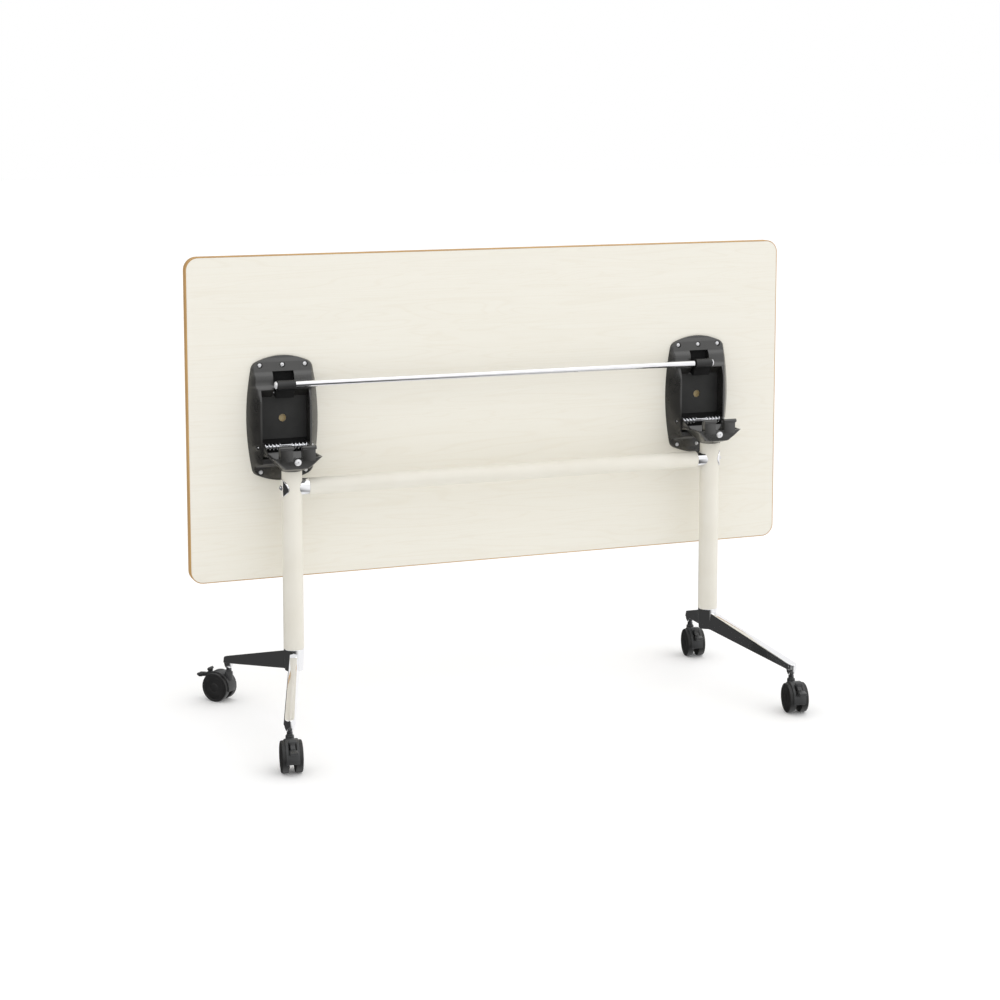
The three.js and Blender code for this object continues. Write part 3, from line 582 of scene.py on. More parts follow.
def rounded_box(x, y, radius, steps):
    """A rectangle between two places along x and two along y, with round corners."""
    points = []
    corners = ((x[1], y[1], -1, -1), (x[0], y[1], 1, -1), (x[0], y[0], 1, 1), (x[1], y[0], -1, 1))
    for quarter, (corner_x, corner_y, in_x, in_y) in enumerate(corners):
        centre = corner_x + in_x * radius, corner_y + in_y * radius
        points += arc_points(centre, radius, 90 * quarter, 90 * quarter + 90, steps)
    return points


def rounded_rectangle(width, height, radius, steps=12):
    return rounded_box((-width / 2, width / 2), (-height / 2, height / 2), radius, steps)


# %% [markdown]
# A finished piece has to say which solid it stands for and which body carries it, and take its
# finish. One helper does all three, so that no piece is forgotten.

# %% Dress a node
dressed = []


def middle_mm(node):
    """The middle of a node's box."""
    return [(low + high) / 2 / MM for low, high in zip(*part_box(node))]


def stands_for(piece, node, finish):
    """The piece takes a finish, hides the node and moves with the node's body."""
    piece.data.materials.clear()
    piece.data.materials.append(finish)
    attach(piece, body_of_node[node])
    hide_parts(node)
    dressed.append(node)
    return piece


def extra(piece, body, finish):
    """A small piece that no node has: it takes a finish and moves with a body."""
    piece.data.materials.append(finish)
    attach(piece, body)
    return piece


def discarded(*patterns):
    """Removes the patterns that copies were taken from."""
    for pattern in patterns:
        bpy.data.objects.remove(pattern)


print("the board's middle is at", [round(place, 1) for place in middle_mm("tabletop_board")], "mm")

# %% [markdown]
# ## The top
#
# The board is a slab with round corners, and the band is a thin hoop round it. Both are drawn flat
# and turned upright, with the underside to the front. The hoop is one plate cut out of another,
# and two blind holes in the board lie where the brackets' floors have a hole.

# %% Board and edge band
TOP_LENGTH, TOP_WIDTH, TOP_THICK = 1600, 800, 25
TOP_CORNER = 32
BAND = 2
FIT = 0.3
HOLE_R, HOLE_DEEP = 9.5, 8
COLUMN_X = abs(middle_mm("left_column")[0])
UNDER_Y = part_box("tabletop_board")[0].y / MM
TOP_Z = middle_mm("tabletop_board")[2]


def in_top(piece, x=0, lift=0):
    """From the top's own frame, x along, y up and z out of the underside, to the table's."""
    return placed(piece, FACE_FRONT, (x, UNDER_Y - lift, TOP_Z))


def top_plate(name, inset, low, high):
    """The top's outline, drawn in by an inset and pulled to a thickness."""
    outline = rounded_rectangle(
        TOP_LENGTH - 2 * inset, TOP_WIDTH - 2 * inset, TOP_CORNER - inset
    )
    return plate(name, outline, low, high)


board = top_plate("maple_board", BAND + FIT, -TOP_THICK, 0)
for sign in (-1, 1):
    hole = bar("blind_hole", HOLE_R, -HOLE_DEEP, 1)
    carved(board, placed(hole, at=(sign * COLUMN_X, 0, 0)))
stands_for(smooth(in_top(board)), "tabletop_board", maple)

hoop = softened(top_plate("band_hoop", 0, -TOP_THICK, 0), 0.8, 3, 60)
carved(hoop, top_plate("band_opening", BAND, -TOP_THICK - 1, 1))
stands_for(smooth(in_top(hoop)), "edge_band", edge_tan)
print("underside at", round(UNDER_Y, 2), "mm, middle of the top at", round(TOP_Z, 2), "mm")

# %% [markdown]
# ## Hinge brackets
#
# Each bracket is a black casting with a barrel outline, walls that lean inwards, steps along its
# length and a deep pocket for the column's head. All its sizes are set down first, because the
# springs, the latches and the heads have to fit it. Lengths run up the top, from its middle.

# %% Bracket sizes
SIDES = (("left", -1), ("right", 1))
PIVOT_Y, PIVOT_Z = middle_mm("left_pivot_pin")[1:]
PIVOT_V = PIVOT_Z - TOP_Z
PIVOT_DROP = UNDER_Y - PIVOT_Y
PIVOT_R = 5
BRACKET_LONG, BRACKET_DEPTH = 310, 38
BRACKET_MID, BRACKET_END = 90.5, 78
BRACKET_ARCH, BRACKET_CORNER, BRACKET_SOFT = 16, 14, 2
EDGE_SOFT = 1.6
CREST_HALF, CREST_END = 66, 46
PLATE, WEDGE = 8, 4
SHOULDER, LEAN = 29, 20
STEP_END, STEP_DEPTH, STEP = 104, 20, 10
POCKET_TOP, POCKET_LOW = 53.5454, PIVOT_V - 28
POCKET_HALF, POCKET_FLOOR = 60, 4
BAY_TOP, BAY_FLOOR = PIVOT_V + 16, 2
NOTCH_HALF, NOTCH_TOP, NOTCH_FLOOR = 26.6, POCKET_TOP + 63.5, 3
LATCH_R, LATCH_HALF = 3, NOTCH_HALF + 6
PIN_V, PIN_DEPTH = POCKET_TOP + 10.5, 8.7
SCREW_ROW, SCREW_PITCH = 132, 57
RECESS_R, RECESS_DEEP = 7, 3
SCREW_PLACES = [(column, row) for column in (-1, 0, 1) for row in (-1, 1)]
print("pivot", round(PIVOT_DROP, 2), "mm off the underside,", round(PIVOT_V, 2), "mm up the top")

# %% [markdown]
# The casting could be a plate with a taper, but its depth changes along its length. So two curves
# are drawn: the outline gives the width of every slice, and the side view gives its depth.

# %% Bracket outline and side view
def bracket_outline():
    """Bowed sides, arched ends and soft corners, drawn once and mirrored."""
    end = BRACKET_LONG / 2 - BRACKET_ARCH
    bow = 2 * BRACKET_MID - BRACKET_END
    side = end - BRACKET_CORNER
    tip = (BRACKET_END - BRACKET_CORNER, end + BRACKET_SOFT)
    corner = (BRACKET_END - BRACKET_SOFT, end - 1.6 * BRACKET_SOFT)
    arch = (0, BRACKET_LONG / 2 + BRACKET_ARCH - BRACKET_SOFT)
    half = curve_points(
        (BRACKET_END, -side),
        (bow, 0), (BRACKET_END, side),
        corner, tip,
        arch, (-tip[0], tip[1]),
        (-corner[0], corner[1]), (-BRACKET_END, side),
        steps=14,
    )[:-1]
    return half + [(-x, -y) for x, y in half]


def bracket_profile():
    """Depth of the casting along its length, as a start and pairs of control and end."""
    low, top = POCKET_LOW - STEP, POCKET_TOP + LEAN
    tail = 1.5 * STEP
    middle = (top + STEP_END) / 2
    root = PLATE + WEDGE
    return curve_points(
        # The lower end plate, and the steep step up to the crest
        (-BRACKET_LONG / 2, PLATE - WEDGE),
        (-SCREW_ROW, PLATE), (low - tail, root),
        (low - 8.5, root + 1), (low - 7.5, (root + BRACKET_DEPTH) / 2),
        (low - 6.5, BRACKET_DEPTH - 1), (low, BRACKET_DEPTH),
        # The level crest, and the slope to the shoulder
        (0, BRACKET_DEPTH), (CREST_END, BRACKET_DEPTH),
        (CREST_END + 9, BRACKET_DEPTH - 1), (top, SHOULDER),
        # The soft step from the shoulder
        (top + 4, SHOULDER - 0.5), (top + 7, (SHOULDER + STEP_DEPTH) / 2),
        (top + 10, STEP_DEPTH + 0.8), (middle + 4, STEP_DEPTH + 0.4),
        (STEP_END - 4, STEP_DEPTH + 0.2), (STEP_END, STEP_DEPTH - 0.8),
        # The soft step to the upper end plate
        (STEP_END + 4, STEP_DEPTH - 2), (STEP_END + 7, (root + STEP_DEPTH) / 2),
        (STEP_END + 10, root + 0.4), (STEP_END + tail, root - 0.3),
        (SCREW_ROW, PLATE), (BRACKET_LONG / 2, PLATE - WEDGE),
        steps=6,
    )


print(len(bracket_outline()), "points round the bracket,", len(bracket_profile()), "along it")

# %% [markdown]
# A skin over the slices gives the leaning walls and soft front edges in one go. Then the pocket,
# the bay for the spring, the notch for the latch, the screws' recesses and the bores are carved.

# %% Bracket casting
def bracket_ring(v, half, deep):
    """One slice across the casting: a flat back, leaning walls and soft front edges."""
    soft = min(EDGE_SOFT, half / 3)

    def wall(z):
        return half * (1 - (1 - CREST_HALF / BRACKET_MID) * z / BRACKET_DEPTH)

    right = [
        (half, 0),
        (wall(deep - soft), deep - soft),
        (wall(deep) - 0.1 * soft, deep - 0.5 * soft),
        (wall(deep) - 0.5 * soft, deep - 0.1 * soft),
        (wall(deep) - soft, deep),
    ]
    return [(x, v, z) for x, z in right] + [(-x, v, z) for x, z in reversed(right)]


def bracket_body():
    outline = sorted((y, x) for x, y in bracket_outline() if x > 1)
    profile = bracket_profile()
    first, last = outline[0][0], outline[-1][0]
    stations = sorted({round(v, 2) for v, _ in outline + profile if first <= v <= last})
    return lofted(
        "bracket",
        [
            bracket_ring(v, np.interp(v, *zip(*outline)), np.interp(v, *zip(*profile)))
            for v in stations
        ],
    )


def bracket():
    body = bracket_body()
    over = BRACKET_DEPTH + 1
    full, notch = (-POCKET_HALF, POCKET_HALF), (-NOTCH_HALF, NOTCH_HALF)
    slope = LEAN / (SHOULDER - POCKET_FLOOR)
    pocket = [
        (POCKET_LOW, POCKET_FLOOR),
        (POCKET_TOP, POCKET_FLOOR),
        (POCKET_TOP + slope * (over - POCKET_FLOOR), over),
        (POCKET_LOW, over),
    ]
    latch_bore = LATCH_HALF + FIT
    carved(
        body,
        slab("notch", notch, (POCKET_TOP - 1, NOTCH_TOP), (NOTCH_FLOOR, over + 2)),
        across("pocket", pocket, *full),
        slab("spring_bay", full, (POCKET_LOW, BAY_TOP), (BAY_FLOOR, over + 1)),
        bar("floor_hole", HOLE_R, -1, over),
    )
    for column, row in SCREW_PLACES:
        recess = bar("recess", RECESS_R, PLATE - RECESS_DEEP, over, sides=40)
        carved(body, placed(recess, at=(column * SCREW_PITCH, row * SCREW_ROW, 0)))
    carved(
        body,
        bar_x("pivot_bore", PIVOT_R + FIT, -100, 100, PIVOT_V, PIVOT_DROP - FIT, sides=40),
        bar_x("latch_bore", LATCH_R + FIT, -latch_bore, latch_bore, PIN_V, PIN_DEPTH, sides=32),
    )
    return smooth(body, 28)


bracket_pattern = bracket()
print("bracket:", len(bracket_pattern.data.polygons), "faces")

# %% [markdown]
# Thin linings paint the shade of the casting's deep places: near-black matt trays in the notch and
# the spring bay, and a dull plate on the pocket's floor. A cup of raw wood in the hole shows the
# board's own core.

# %% Bracket linings
LINER = 0.4
SLIP = 0.1


def notch_painted_shade():
    """A thin near-black matt tray above the latch pin, which paints the notch's deep shade."""
    half, low, high = NOTCH_HALF, PIN_V + 6, NOTCH_TOP
    tray = slab("liner", (-half, half), (low, high), (NOTCH_FLOOR, PLATE + 2.5))
    inside = (LINER - half, half - LINER), (low - 1, high - LINER)
    return carved(tray, slab("hollow", *inside, (NOTCH_FLOOR + LINER, STEP_DEPTH)))


def bay_painted_shade():
    """A near-black matt tray on the floor of the spring bay, open to the front, which paints the
    bay's shade.
    """
    half, low, high = POCKET_HALF - SLIP, POCKET_LOW + SLIP, BAY_TOP - SLIP
    floor = BAY_FLOOR + 0.05
    tray = slab("bay", (-half, half), (low, high), (floor, POCKET_FLOOR - SLIP))
    inside = (LINER - half, half - LINER), (low - 1, high - LINER)
    return carved(tray, slab("hollow", *inside, (floor + LINER, POCKET_FLOOR + 1)))


def floor_painted_shade():
    """A dull plate on the pocket's floor, with the floor's hole in it, which paints shade on the
    floor.
    """
    half, low, high = POCKET_HALF - SLIP, BAY_TOP + SLIP, POCKET_TOP - SLIP
    thickness = (POCKET_FLOOR + 0.02, POCKET_FLOOR + LINER)
    cover = slab("floor", (-half, half), (low, high), thickness)
    return carved(cover, bar("hole", HOLE_R, 0, 10))


def bare_wood():
    """A thin cup of the board's raw core, which lines the blind hole under the floor hole."""
    low, radius = SLIP - HOLE_DEEP - FIT, HOLE_R - 2 * SLIP
    cup = bar("bare_wood", radius, low, -SLIP)
    return carved(cup, bar("hollow", radius - LINER, low + LINER, 1))


# Three of these pieces paint shade in the bracket's deep places; the raw wood cup is the board's
# own core.
shade_and_core_linings = {
    "notch_painted_shade": (notch_painted_shade(), painted_shade_black, "black_plastic"),
    "bay_painted_shade": (bay_painted_shade(), painted_shade_black, "black_plastic"),
    "floor_painted_shade": (floor_painted_shade(), painted_shade_casting, "black_casting"),
    "bare_wood": (bare_wood(), raw_wood, "ply_edge"),
}
for side, sign in SIDES:
    piece = copied(bracket_pattern, side + "_bracket_casting")
    stands_for(in_top(piece, sign * COLUMN_X, FIT), side + "_hinge_bracket", casting)
    for name, (lining, finish, slot) in shade_and_core_linings.items():
        piece = in_top(copied(lining, f"{side}_{name}"), sign * COLUMN_X, FIT)
        extra(piece, "top", finish)
discarded(bracket_pattern, *(lining for lining, _, _ in shade_and_core_linings.values()))
print("two brackets with", len(shade_and_core_linings), "linings each")

# %% [markdown]
# Six pan-headed screws hold each bracket. A screw is a turned dome with a cross recess. The six of
# one bracket are joined into one piece, because they never move apart.

# %% Bracket screws
CROSS_LONG, CROSS_WIDE = (-2.2, 2.2), (-0.35, 0.35)
CROSS_DEEP = (2.4, 4)


def pan_screw():
    dome = [(5.0, 0), (5.2, 0.5), (5.0, 1.4), (4.2, 2.3), (2.8, 2.9), (1.2, 3.1)]
    return smooth(
        carved(
            turned("screw", dome, 32),
            slab("cross", CROSS_LONG, CROSS_WIDE, CROSS_DEEP),
            slab("cross", CROSS_WIDE, CROSS_LONG, CROSS_DEEP),
        ),
        40,
    )


screw = pan_screw()
seat = PLATE - RECESS_DEEP + SLIP
for side, sign in SIDES:
    six = []
    for column, row in SCREW_PLACES:
        turn = Matrix.Rotation(0.5 * column + row, 4, "Z")
        place = (column * SCREW_PITCH, row * SCREW_ROW, seat)
        six.append(copied(screw, f"{side}_screw", turn, place))
    only(six[0])
    for each in six:
        each.select_set(True)
    bpy.ops.object.join()
    piece = in_top(named(side + "_bracket_screws"), sign * COLUMN_X, FIT)
    extra(piece, "top", satin_zinc)
discarded(screw)
print("six screws:", len(piece.data.polygons), "faces")

# %% [markdown]
# ## Torsion springs
#
# A double torsion spring sits on each pivot pin: four open coils, a straight bar across the middle
# and four more coils, in one unbroken wire. The Screw modifier could make the coils, but not the
# bar and the legs with them. So a curve follows the whole wire, a round bevel gives its thickness,
# and the curve is then made a mesh.

# %% Springs
EAR_GAP, EAR_THICK = 0.6, 3.7
EAR_OUT = POCKET_HALF - EAR_GAP
EAR_IN = EAR_OUT - EAR_THICK
WIRE = 2.0
SPRING_BAR, SPRING_END = 14.5, EAR_IN - EAR_GAP - WIRE
SPRING_TURNS = 4 + 1 / 6
SPRING_ANGLE = math.pi / 3
STEPS_PER_TURN = 24
COIL = (PIVOT_R + FIT + WIRE) / math.cos(math.pi / 8)


def spring_half():
    """The wire from the middle of the bar to the end of one leg."""
    pitch = (SPRING_END - SPRING_BAR) / SPRING_TURNS
    steps = int(SPRING_TURNS * STEPS_PER_TURN)
    points = [(0, COIL * math.cos(SPRING_ANGLE), COIL * math.sin(SPRING_ANGLE))]
    for i in range(steps + 1):
        turn = SPRING_TURNS * i / steps
        angle = SPRING_ANGLE - 2 * math.pi * turn
        points.append(
            (SPRING_BAR + pitch * turn, COIL * math.cos(angle), COIL * math.sin(angle))
        )
    points.append((SPRING_END, COIL, BAY_FLOOR + 2 * FIT - PIVOT_DROP))
    return points


def spring(name):
    half = spring_half()
    route = [(-x, y, z) for x, y, z in reversed(half[1:])] + half
    only()
    bpy.ops.curve.primitive_bezier_curve_add(radius=MM)
    curve = named(name).data
    curve.splines.clear()
    line = curve.splines.new("POLY")
    line.points.add(len(route) - 1)
    for point, place in zip(line.points, route):
        point.co = (*(Vector(place) * MM), 1)
    curve.bevel_depth = WIRE * MM
    curve.bevel_resolution = 3
    curve.use_fill_caps = True
    bpy.ops.object.convert(target="MESH")
    piece = named(name)
    bpy.ops.object.mode_set(mode="EDIT")
    bpy.ops.mesh.select_all(action="SELECT")
    bpy.ops.mesh.remove_doubles(threshold=0.01 * MM)
    return smooth(closed(piece), 60)


for side, sign in SIDES:
    piece = spring(side + "_spring_wire")
    placed(piece, FACE_FRONT, (sign * COLUMN_X, PIVOT_Y, PIVOT_Z))
    stands_for(piece, side + "_torsion_spring", zinc)
print("spring:", len(piece.data.polygons), "faces")

# %% [markdown]
# ## Pull bar and latches
#
# One chrome bar runs from bracket to bracket. At each end it sits in the sleeve of a black latch
# lever, which rocks on a short pin in the bracket's notch. The lever is one side view pulled
# across, because hook, sleeve and boss share it, and a thin glossy shell covers its sleeve.

# %% Latch levers
BAR_V, BAR_OUT, BAR_R = 153 + PIVOT_V, 39, 8
SLEEVE, SHELL, BOSS = 11.5, 0.25, 5.4
LEVER_HALF = 23


def latch_lever():
    """A hook, an arc round the sleeve and an arc round the boss, in one side view."""
    tip = POCKET_TOP - 1.2
    hook = [(tip + 1, 20), (tip, 23), (tip, 29), (PIN_V, 32)]
    sleeve = arc_points((BAR_V, BAR_OUT), SLEEVE, 180, -53, 40)
    boss = arc_points((PIN_V, PIN_DEPTH), BOSS, -37, -180, 16)
    lever = across("lever", hook + sleeve + boss, -LEVER_HALF, LEVER_HALF)
    carved(
        softened(lever, 0.7, 2, 40),
        bar_x("pin_bore", LATCH_R + FIT, -40, 40, PIN_V, PIN_DEPTH, sides=32),
        bar_x("bar_bore", BAR_R + FIT, -40, 40, BAR_V, BAR_OUT),
    )
    return smooth(lever, 32)


def sleeve_shell():
    """A glossy shell round the sleeve, over the lever's near-black body that paints the notch's
    shade.
    """
    outline = arc_points((BAR_V, BAR_OUT), SLEEVE + SHELL, 200, -70, 48)
    outline += arc_points((BAR_V, BAR_OUT), SLEEVE - SHELL, -70, 200, 48)
    return smooth(across("shell", outline, 0.4 - LEVER_HALF, LEVER_HALF - 0.4), 40)


lever, shell = latch_lever(), sleeve_shell()
print("lever:", len(lever.data.polygons), "faces, shell:", len(shell.data.polygons))

# %% [markdown]
# The pull bar is a plain round bar with a bore at each end, and a domed screw closes each bore.
# Domed bolts come back all over the table, so one recipe turns them all.

# %% Pins, bar and screws
BAR_END = COLUMN_X + LEVER_HALF + 1
END_SCREW_R = 3


def button_bolt(name, head, height, shank, length, socket=0.5):
    """A domed bolt along Z with its seat at z = 0, with or without a hexagon socket in its head."""
    bolt = turned(
        name,
        [
            (shank - 0.5, -length), (shank, 0.6 - length), (shank, 0), (head - 0.3, 0),
            (head, 0.3), (head, 0.3 * height), (0.93 * head, 0.55 * height),
            (0.78 * head, 0.8 * height), (0.58 * head, 0.95 * height), (0.4 * head, height),
        ],
        48,
    )
    if socket:
        carved(bolt, bar("key", socket * head, 0.45 * height, 2 * height, sides=6))
    return smooth(bolt, 35)


for side, sign in SIDES:
    piece = in_top(copied(lever, side + "_lever_sleeve"), sign * COLUMN_X, FIT)
    # The lever's body takes the near-black finish that paints the notch's shade round it; only the
    # shell over its sleeve is the glossy plastic.
    stands_for(piece, side + "_latch_lever", painted_shade_black)
    cover = in_top(copied(shell, side + "_sleeve_shell"), sign * COLUMN_X, FIT)
    stands_for(cover, side + "_latch_lever", sleeve_black)
    pin = bar_x(side + "_lever_pin", LATCH_R, -LATCH_HALF, LATCH_HALF, PIN_V, PIN_DEPTH, 0.4, 32)
    stands_for(smooth(in_top(pin, sign * COLUMN_X, FIT)), side + "_latch_pin", zinc)
    bolt = button_bolt(side + "_bar_end_screw", 9.4, 5, END_SCREW_R, 14, 0)
    outwards = Matrix.Rotation(sign * math.pi / 2, 4, "Y")
    placed(bolt, outwards, (sign * (BAR_END + FIT), BAR_V, BAR_OUT))
    stands_for(in_top(bolt, 0, FIT), side + "_bar_screw", satin_zinc)
discarded(lever, shell)

pull = bar_x("chrome_pull_bar", BAR_R, -BAR_END, BAR_END, BAR_V, BAR_OUT, 0.6, 72)
for end in (-BAR_END, BAR_END):
    carved(pull, bar_x("bore", END_SCREW_R + FIT, end - 16, end + 16, BAR_V, BAR_OUT, sides=32))
stands_for(smooth(in_top(pull, 0, FIT)), "pull_bar", chrome)
print("pull bar", round(2 * BAR_END, 1), "mm long")

# %% [markdown]
# ## Columns, crossbar and saddles
#
# The columns and the crossbar are plain round tubes. A saddle piece with a curved seat joins the
# crossbar to each column, and a disc bent round the column closes the joint outside, with a bolt
# through all. The disc is lofted from bent circles, because a flat disc would not lie on the tube.

# %% Tubes, saddles and tie bolts
COLUMN_Y = middle_mm("left_column")[1]
COLUMN_LOW, COLUMN_TOP = (corner.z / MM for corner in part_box("left_column"))
COLUMN_R, CROSS_R = 25, 21
CROSS_Z = middle_mm("crossbar")[2]
CROSS_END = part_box("crossbar")[1].x / MM
SADDLE_FACE, PLUG_LONG, PLUG_FIT = COLUMN_R + 16 - FIT, 30, 2.3
CAP_R, CAP_FACE = 22.5, COLUMN_R + 2.8
TIE_R, TIE_REACH = 4, 42


def tie_bore():
    return bar_x("bore", TIE_R + FIT, -100, 100, 0, CROSS_Z, sides=32)


def saddle(name, sign):
    """A round block along X with a seat for the column and a plug for the crossbar."""
    face, reach = sign * SADDLE_FACE, sign * (SADDLE_FACE + PLUG_LONG)
    block = bar_x(name, CROSS_R, min(0, face), max(0, face), 0, CROSS_Z, 0.8, 72)
    ends = min(0, reach), max(0, reach)
    welded(block, bar_x("plug", CROSS_R - PLUG_FIT, *ends, 0, CROSS_Z, 0.6, 48))
    seat = bar("seat", COLUMN_R + FIT, CROSS_Z - 50, CROSS_Z + 50, sides=96)
    return smooth(carved(block, seat, tie_bore()), 32)


def bent_ring(radius, bend, sign, count=72):
    """A circle seen along X, laid on a tube of radius bend round the column."""
    ring = []
    for i in range(count):
        y, z = (radius * wave(2 * math.pi * i / count) for wave in (math.cos, math.sin))
        ring.append((sign * math.sqrt(bend**2 - y**2), y, CROSS_Z + z))
    return ring


def saddle_cap(name, sign):
    """A disc bent round the column: circles that run over its face, its rim and its seat."""
    outer, seat = CAP_FACE, COLUMN_R + FIT
    face = [(6, outer), (12, outer), (CAP_R - 0.8, outer)]
    rim = [(CAP_R - 0.2, outer - 0.25), (CAP_R, outer - 0.8), (CAP_R, seat + 0.3)]
    back = [(CAP_R - 0.3, seat), (12, seat), (6, seat)]
    disc = lofted(name, [bent_ring(radius, bend, sign) for radius, bend in face + rim + back])
    return smooth(carved(disc, tie_bore()), 40)


def on_column(piece, sign, node, finish):
    return stands_for(placed(piece, at=(sign * COLUMN_X, COLUMN_Y, 0)), node, finish)


for side, sign in SIDES:
    tube = smooth(bar(side + "_column_tube", COLUMN_R, COLUMN_LOW, COLUMN_TOP, 0.5, 96))
    on_column(tube, sign, side + "_column", cream)
    on_column(saddle(side + "_saddle", -sign), sign, side + "_inner_saddle", chrome)
    on_column(saddle_cap(side + "_saddle_cap", sign), sign, side + "_outer_cap", chrome)
    head_at = CAP_FACE + FIT
    tie = button_bolt(side + "_tie_screw", 6.5, 3.5, TIE_R, head_at + COLUMN_R + TIE_REACH)
    placed(tie, Matrix.Rotation(sign * math.pi / 2, 4, "Y"), (sign * head_at, 0, CROSS_Z))
    on_column(tie, sign, side + "_tie_bolt", zinc)

beam = bar_x("crossbar_tube", CROSS_R, -CROSS_END, CROSS_END, COLUMN_Y, CROSS_Z, 0.5, 96)
stands_for(smooth(beam), "crossbar", cream)
print("columns from", round(COLUMN_LOW, 1), "to", round(COLUMN_TOP, 1), "mm")

# %% [markdown]
# ## Column heads
#
# A head is a black funnel casting on the column: round below, wide and square at its rim, with a
# hollow inside. A box could be squeezed into this shape, but a loft through rings that follow a
# smooth rise keeps the walls fair from round to square.

# %% Head funnel
RIM_Z = PIVOT_Z + PIVOT_DROP - BRACKET_DEPTH - 1
RIM_HALF, RIM_CORNER = 62, 6
HEAD_FRONT, HEAD_WALL = 60, 4.5
CREST_BACK = UNDER_Y - BRACKET_DEPTH - COLUMN_Y
RIM_BACK = CREST_BACK - 4
DISH_DEEP, DISH_DRAWN_IN, DISH_HALF = 22, 18, 30
# Height, width and reach to the front, as shares of the way from the column to the rim, and corner
FUNNEL = (
    (0, 0, 0, 0.96 * COLUMN_R),
    (0.1, 0.07, 0.15, 0.85 * COLUMN_R),
    (0.28, 0.24, 0.74, 0.45 * COLUMN_R),
    (0.62, 0.58, 0.88, RIM_CORNER),
    (1, 1, 1, RIM_CORNER),
)


def head_ring(half, front, back, height, corner=RIM_CORNER):
    return [(x, y, height) for x, y in rounded_box((-half, half), (-front, back), corner, 8)]


def funnel():
    rings = [
        [a + (b - a) * i / 3 for a, b in zip(lower, upper)]
        for lower, upper in zip(FUNNEL, FUNNEL[1:])
        for i in range(3)
    ]
    return lofted(
        "head",
        [
            head_ring(
                COLUMN_R + (RIM_HALF - COLUMN_R) * wide,
                COLUMN_R + (HEAD_FRONT - COLUMN_R) * forward,
                COLUMN_R + (RIM_BACK - COLUMN_R) * wide,
                COLUMN_TOP + share * (RIM_Z - COLUMN_TOP),
                corner,
            )
            for share, wide, forward, corner in [*rings, FUNNEL[-1]]
        ],
    )


def dish():
    """The hollow of the funnel."""
    back = RIM_BACK - HEAD_WALL
    return lofted(
        "dish",
        [
            head_ring(
                DISH_HALF, HEAD_FRONT - DISH_DRAWN_IN, back - DISH_DRAWN_IN, RIM_Z - DISH_DEEP
            ),
            head_ring(RIM_HALF - HEAD_WALL, HEAD_FRONT - HEAD_WALL, back, RIM_Z + 1),
        ],
    )


head = softened(carved(funnel(), dish()), 0.9, 2, 40)
print("funnel:", len(head.data.polygons), "faces")

# %% [markdown]
# Two lugs with round beads on the head's front are what the latches hook under, and two ears
# behind carry the pivot pin. They are welded to the funnel, as they are cast in one on the real
# head, and the bolt's seat and the bores are carved last.

# %% Lugs, ears, bolts and pivot pins
PIVOT_BACK = PIVOT_Y - COLUMN_Y
EAR_R = 11
BEAD_R, BEAD_Y, BEAD_Z = 5, 1 - HEAD_FRONT, PIVOT_Z + 13
LUG_IN, LUG_OUT, LUG_THICK = 12, 44, 18
SEAT_R, SEAT_Y, BOLT_Z = 8.8, 3.5 - HEAD_FRONT, PIVOT_Z - 22
HEAD_BOLT_R, HEAD_BOLT_LONG = 4, 16
PIN_NECK = 2.9
SPIGOT_R = 22.2


def ear(low, high):
    arc = arc_points((PIVOT_BACK, PIVOT_Z), EAR_R, 129.6, -59.4, 24)
    foot = [(RIM_BACK, RIM_Z - 9), (0, RIM_Z - HEAD_WALL)]
    return across("ear", [(0, RIM_Z), *arc, *foot], low, high)


def lug(low, high):
    front = (-HEAD_FRONT, LUG_THICK - HEAD_FRONT)
    post = softened(slab("lug", (low, high), front, (RIM_Z - 9, BEAD_Z)), 1.2, 2)
    return welded(post, bar_x("bead", BEAD_R, low - 1.5, high + 1.5, BEAD_Y, BEAD_Z, 0.8, 40))


def at_bolt(piece, turn, back=0):
    return placed(piece, turn, (0, SEAT_Y + back, BOLT_Z))


pad = slab("stop_pad", (-18, 18), (0, CREST_BACK - 0.6), (COLUMN_TOP + 10, COLUMN_TOP + 26))
welded(
    head,
    ear(EAR_IN, EAR_OUT),
    ear(-EAR_OUT, -EAR_IN),
    lug(LUG_IN, LUG_OUT),
    lug(-LUG_OUT, -LUG_IN),
    at_bolt(bar("bolt_boss", 8.5, 0, 17, sides=40), FACE_FRONT.inverted(), 1),
    pad,
    bar("spigot", SPIGOT_R, COLUMN_TOP - 24, COLUMN_TOP + 1, 0.6),
)
carved(
    head,
    at_bolt(bar("spot_face", SEAT_R, 0, 60, sides=48), FACE_FRONT),
    at_bolt(bar("bolt_bore", HEAD_BOLT_R + FIT, -17, 1, sides=32), FACE_FRONT),
    bar_x("pin_bore", PIVOT_R + FIT, -62, 62, PIVOT_BACK, PIVOT_Z, sides=40),
)
smooth(head, 34)
for side, sign in SIDES:
    on_column(copied(head, side + "_head_casting"), sign, side + "_column_head", casting)
    bolt = button_bolt(side + "_head_button", 8.5, 5.5, HEAD_BOLT_R, HEAD_BOLT_LONG, 0.25)
    on_column(at_bolt(bolt, FACE_FRONT, -FIT), sign, side + "_head_bolt", satin_zinc)
    low, high = (corner.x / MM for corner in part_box(side + "_pivot_pin"))
    ends = [(PIN_NECK - 0.5, low), (PIN_NECK, low + 0.5), (PIN_NECK, low + 5), (PIVOT_R, low + 6)]
    ends += [(radius, low + high - end) for radius, end in reversed(ends)]
    pin = placed(turned(side + "_hinge_pin", ends, 40), TO_X, (0, PIVOT_Y, PIVOT_Z))
    stands_for(smooth(pin), side + "_pivot_pin", zinc)
print("head:", len(head.data.polygons), "faces")
discarded(head)

# %% [markdown]
# ## Feet
#
# A foot is one polished casting: a short hub under the column, and two arms that run down and
# outwards to the casters. An arm has sides that lean in, a crowned upper face with round edges and
# a round end, so it is lofted from slices along its length. A polished face shows every dent, so
# extra points beside each edge hold the flat sides flat.

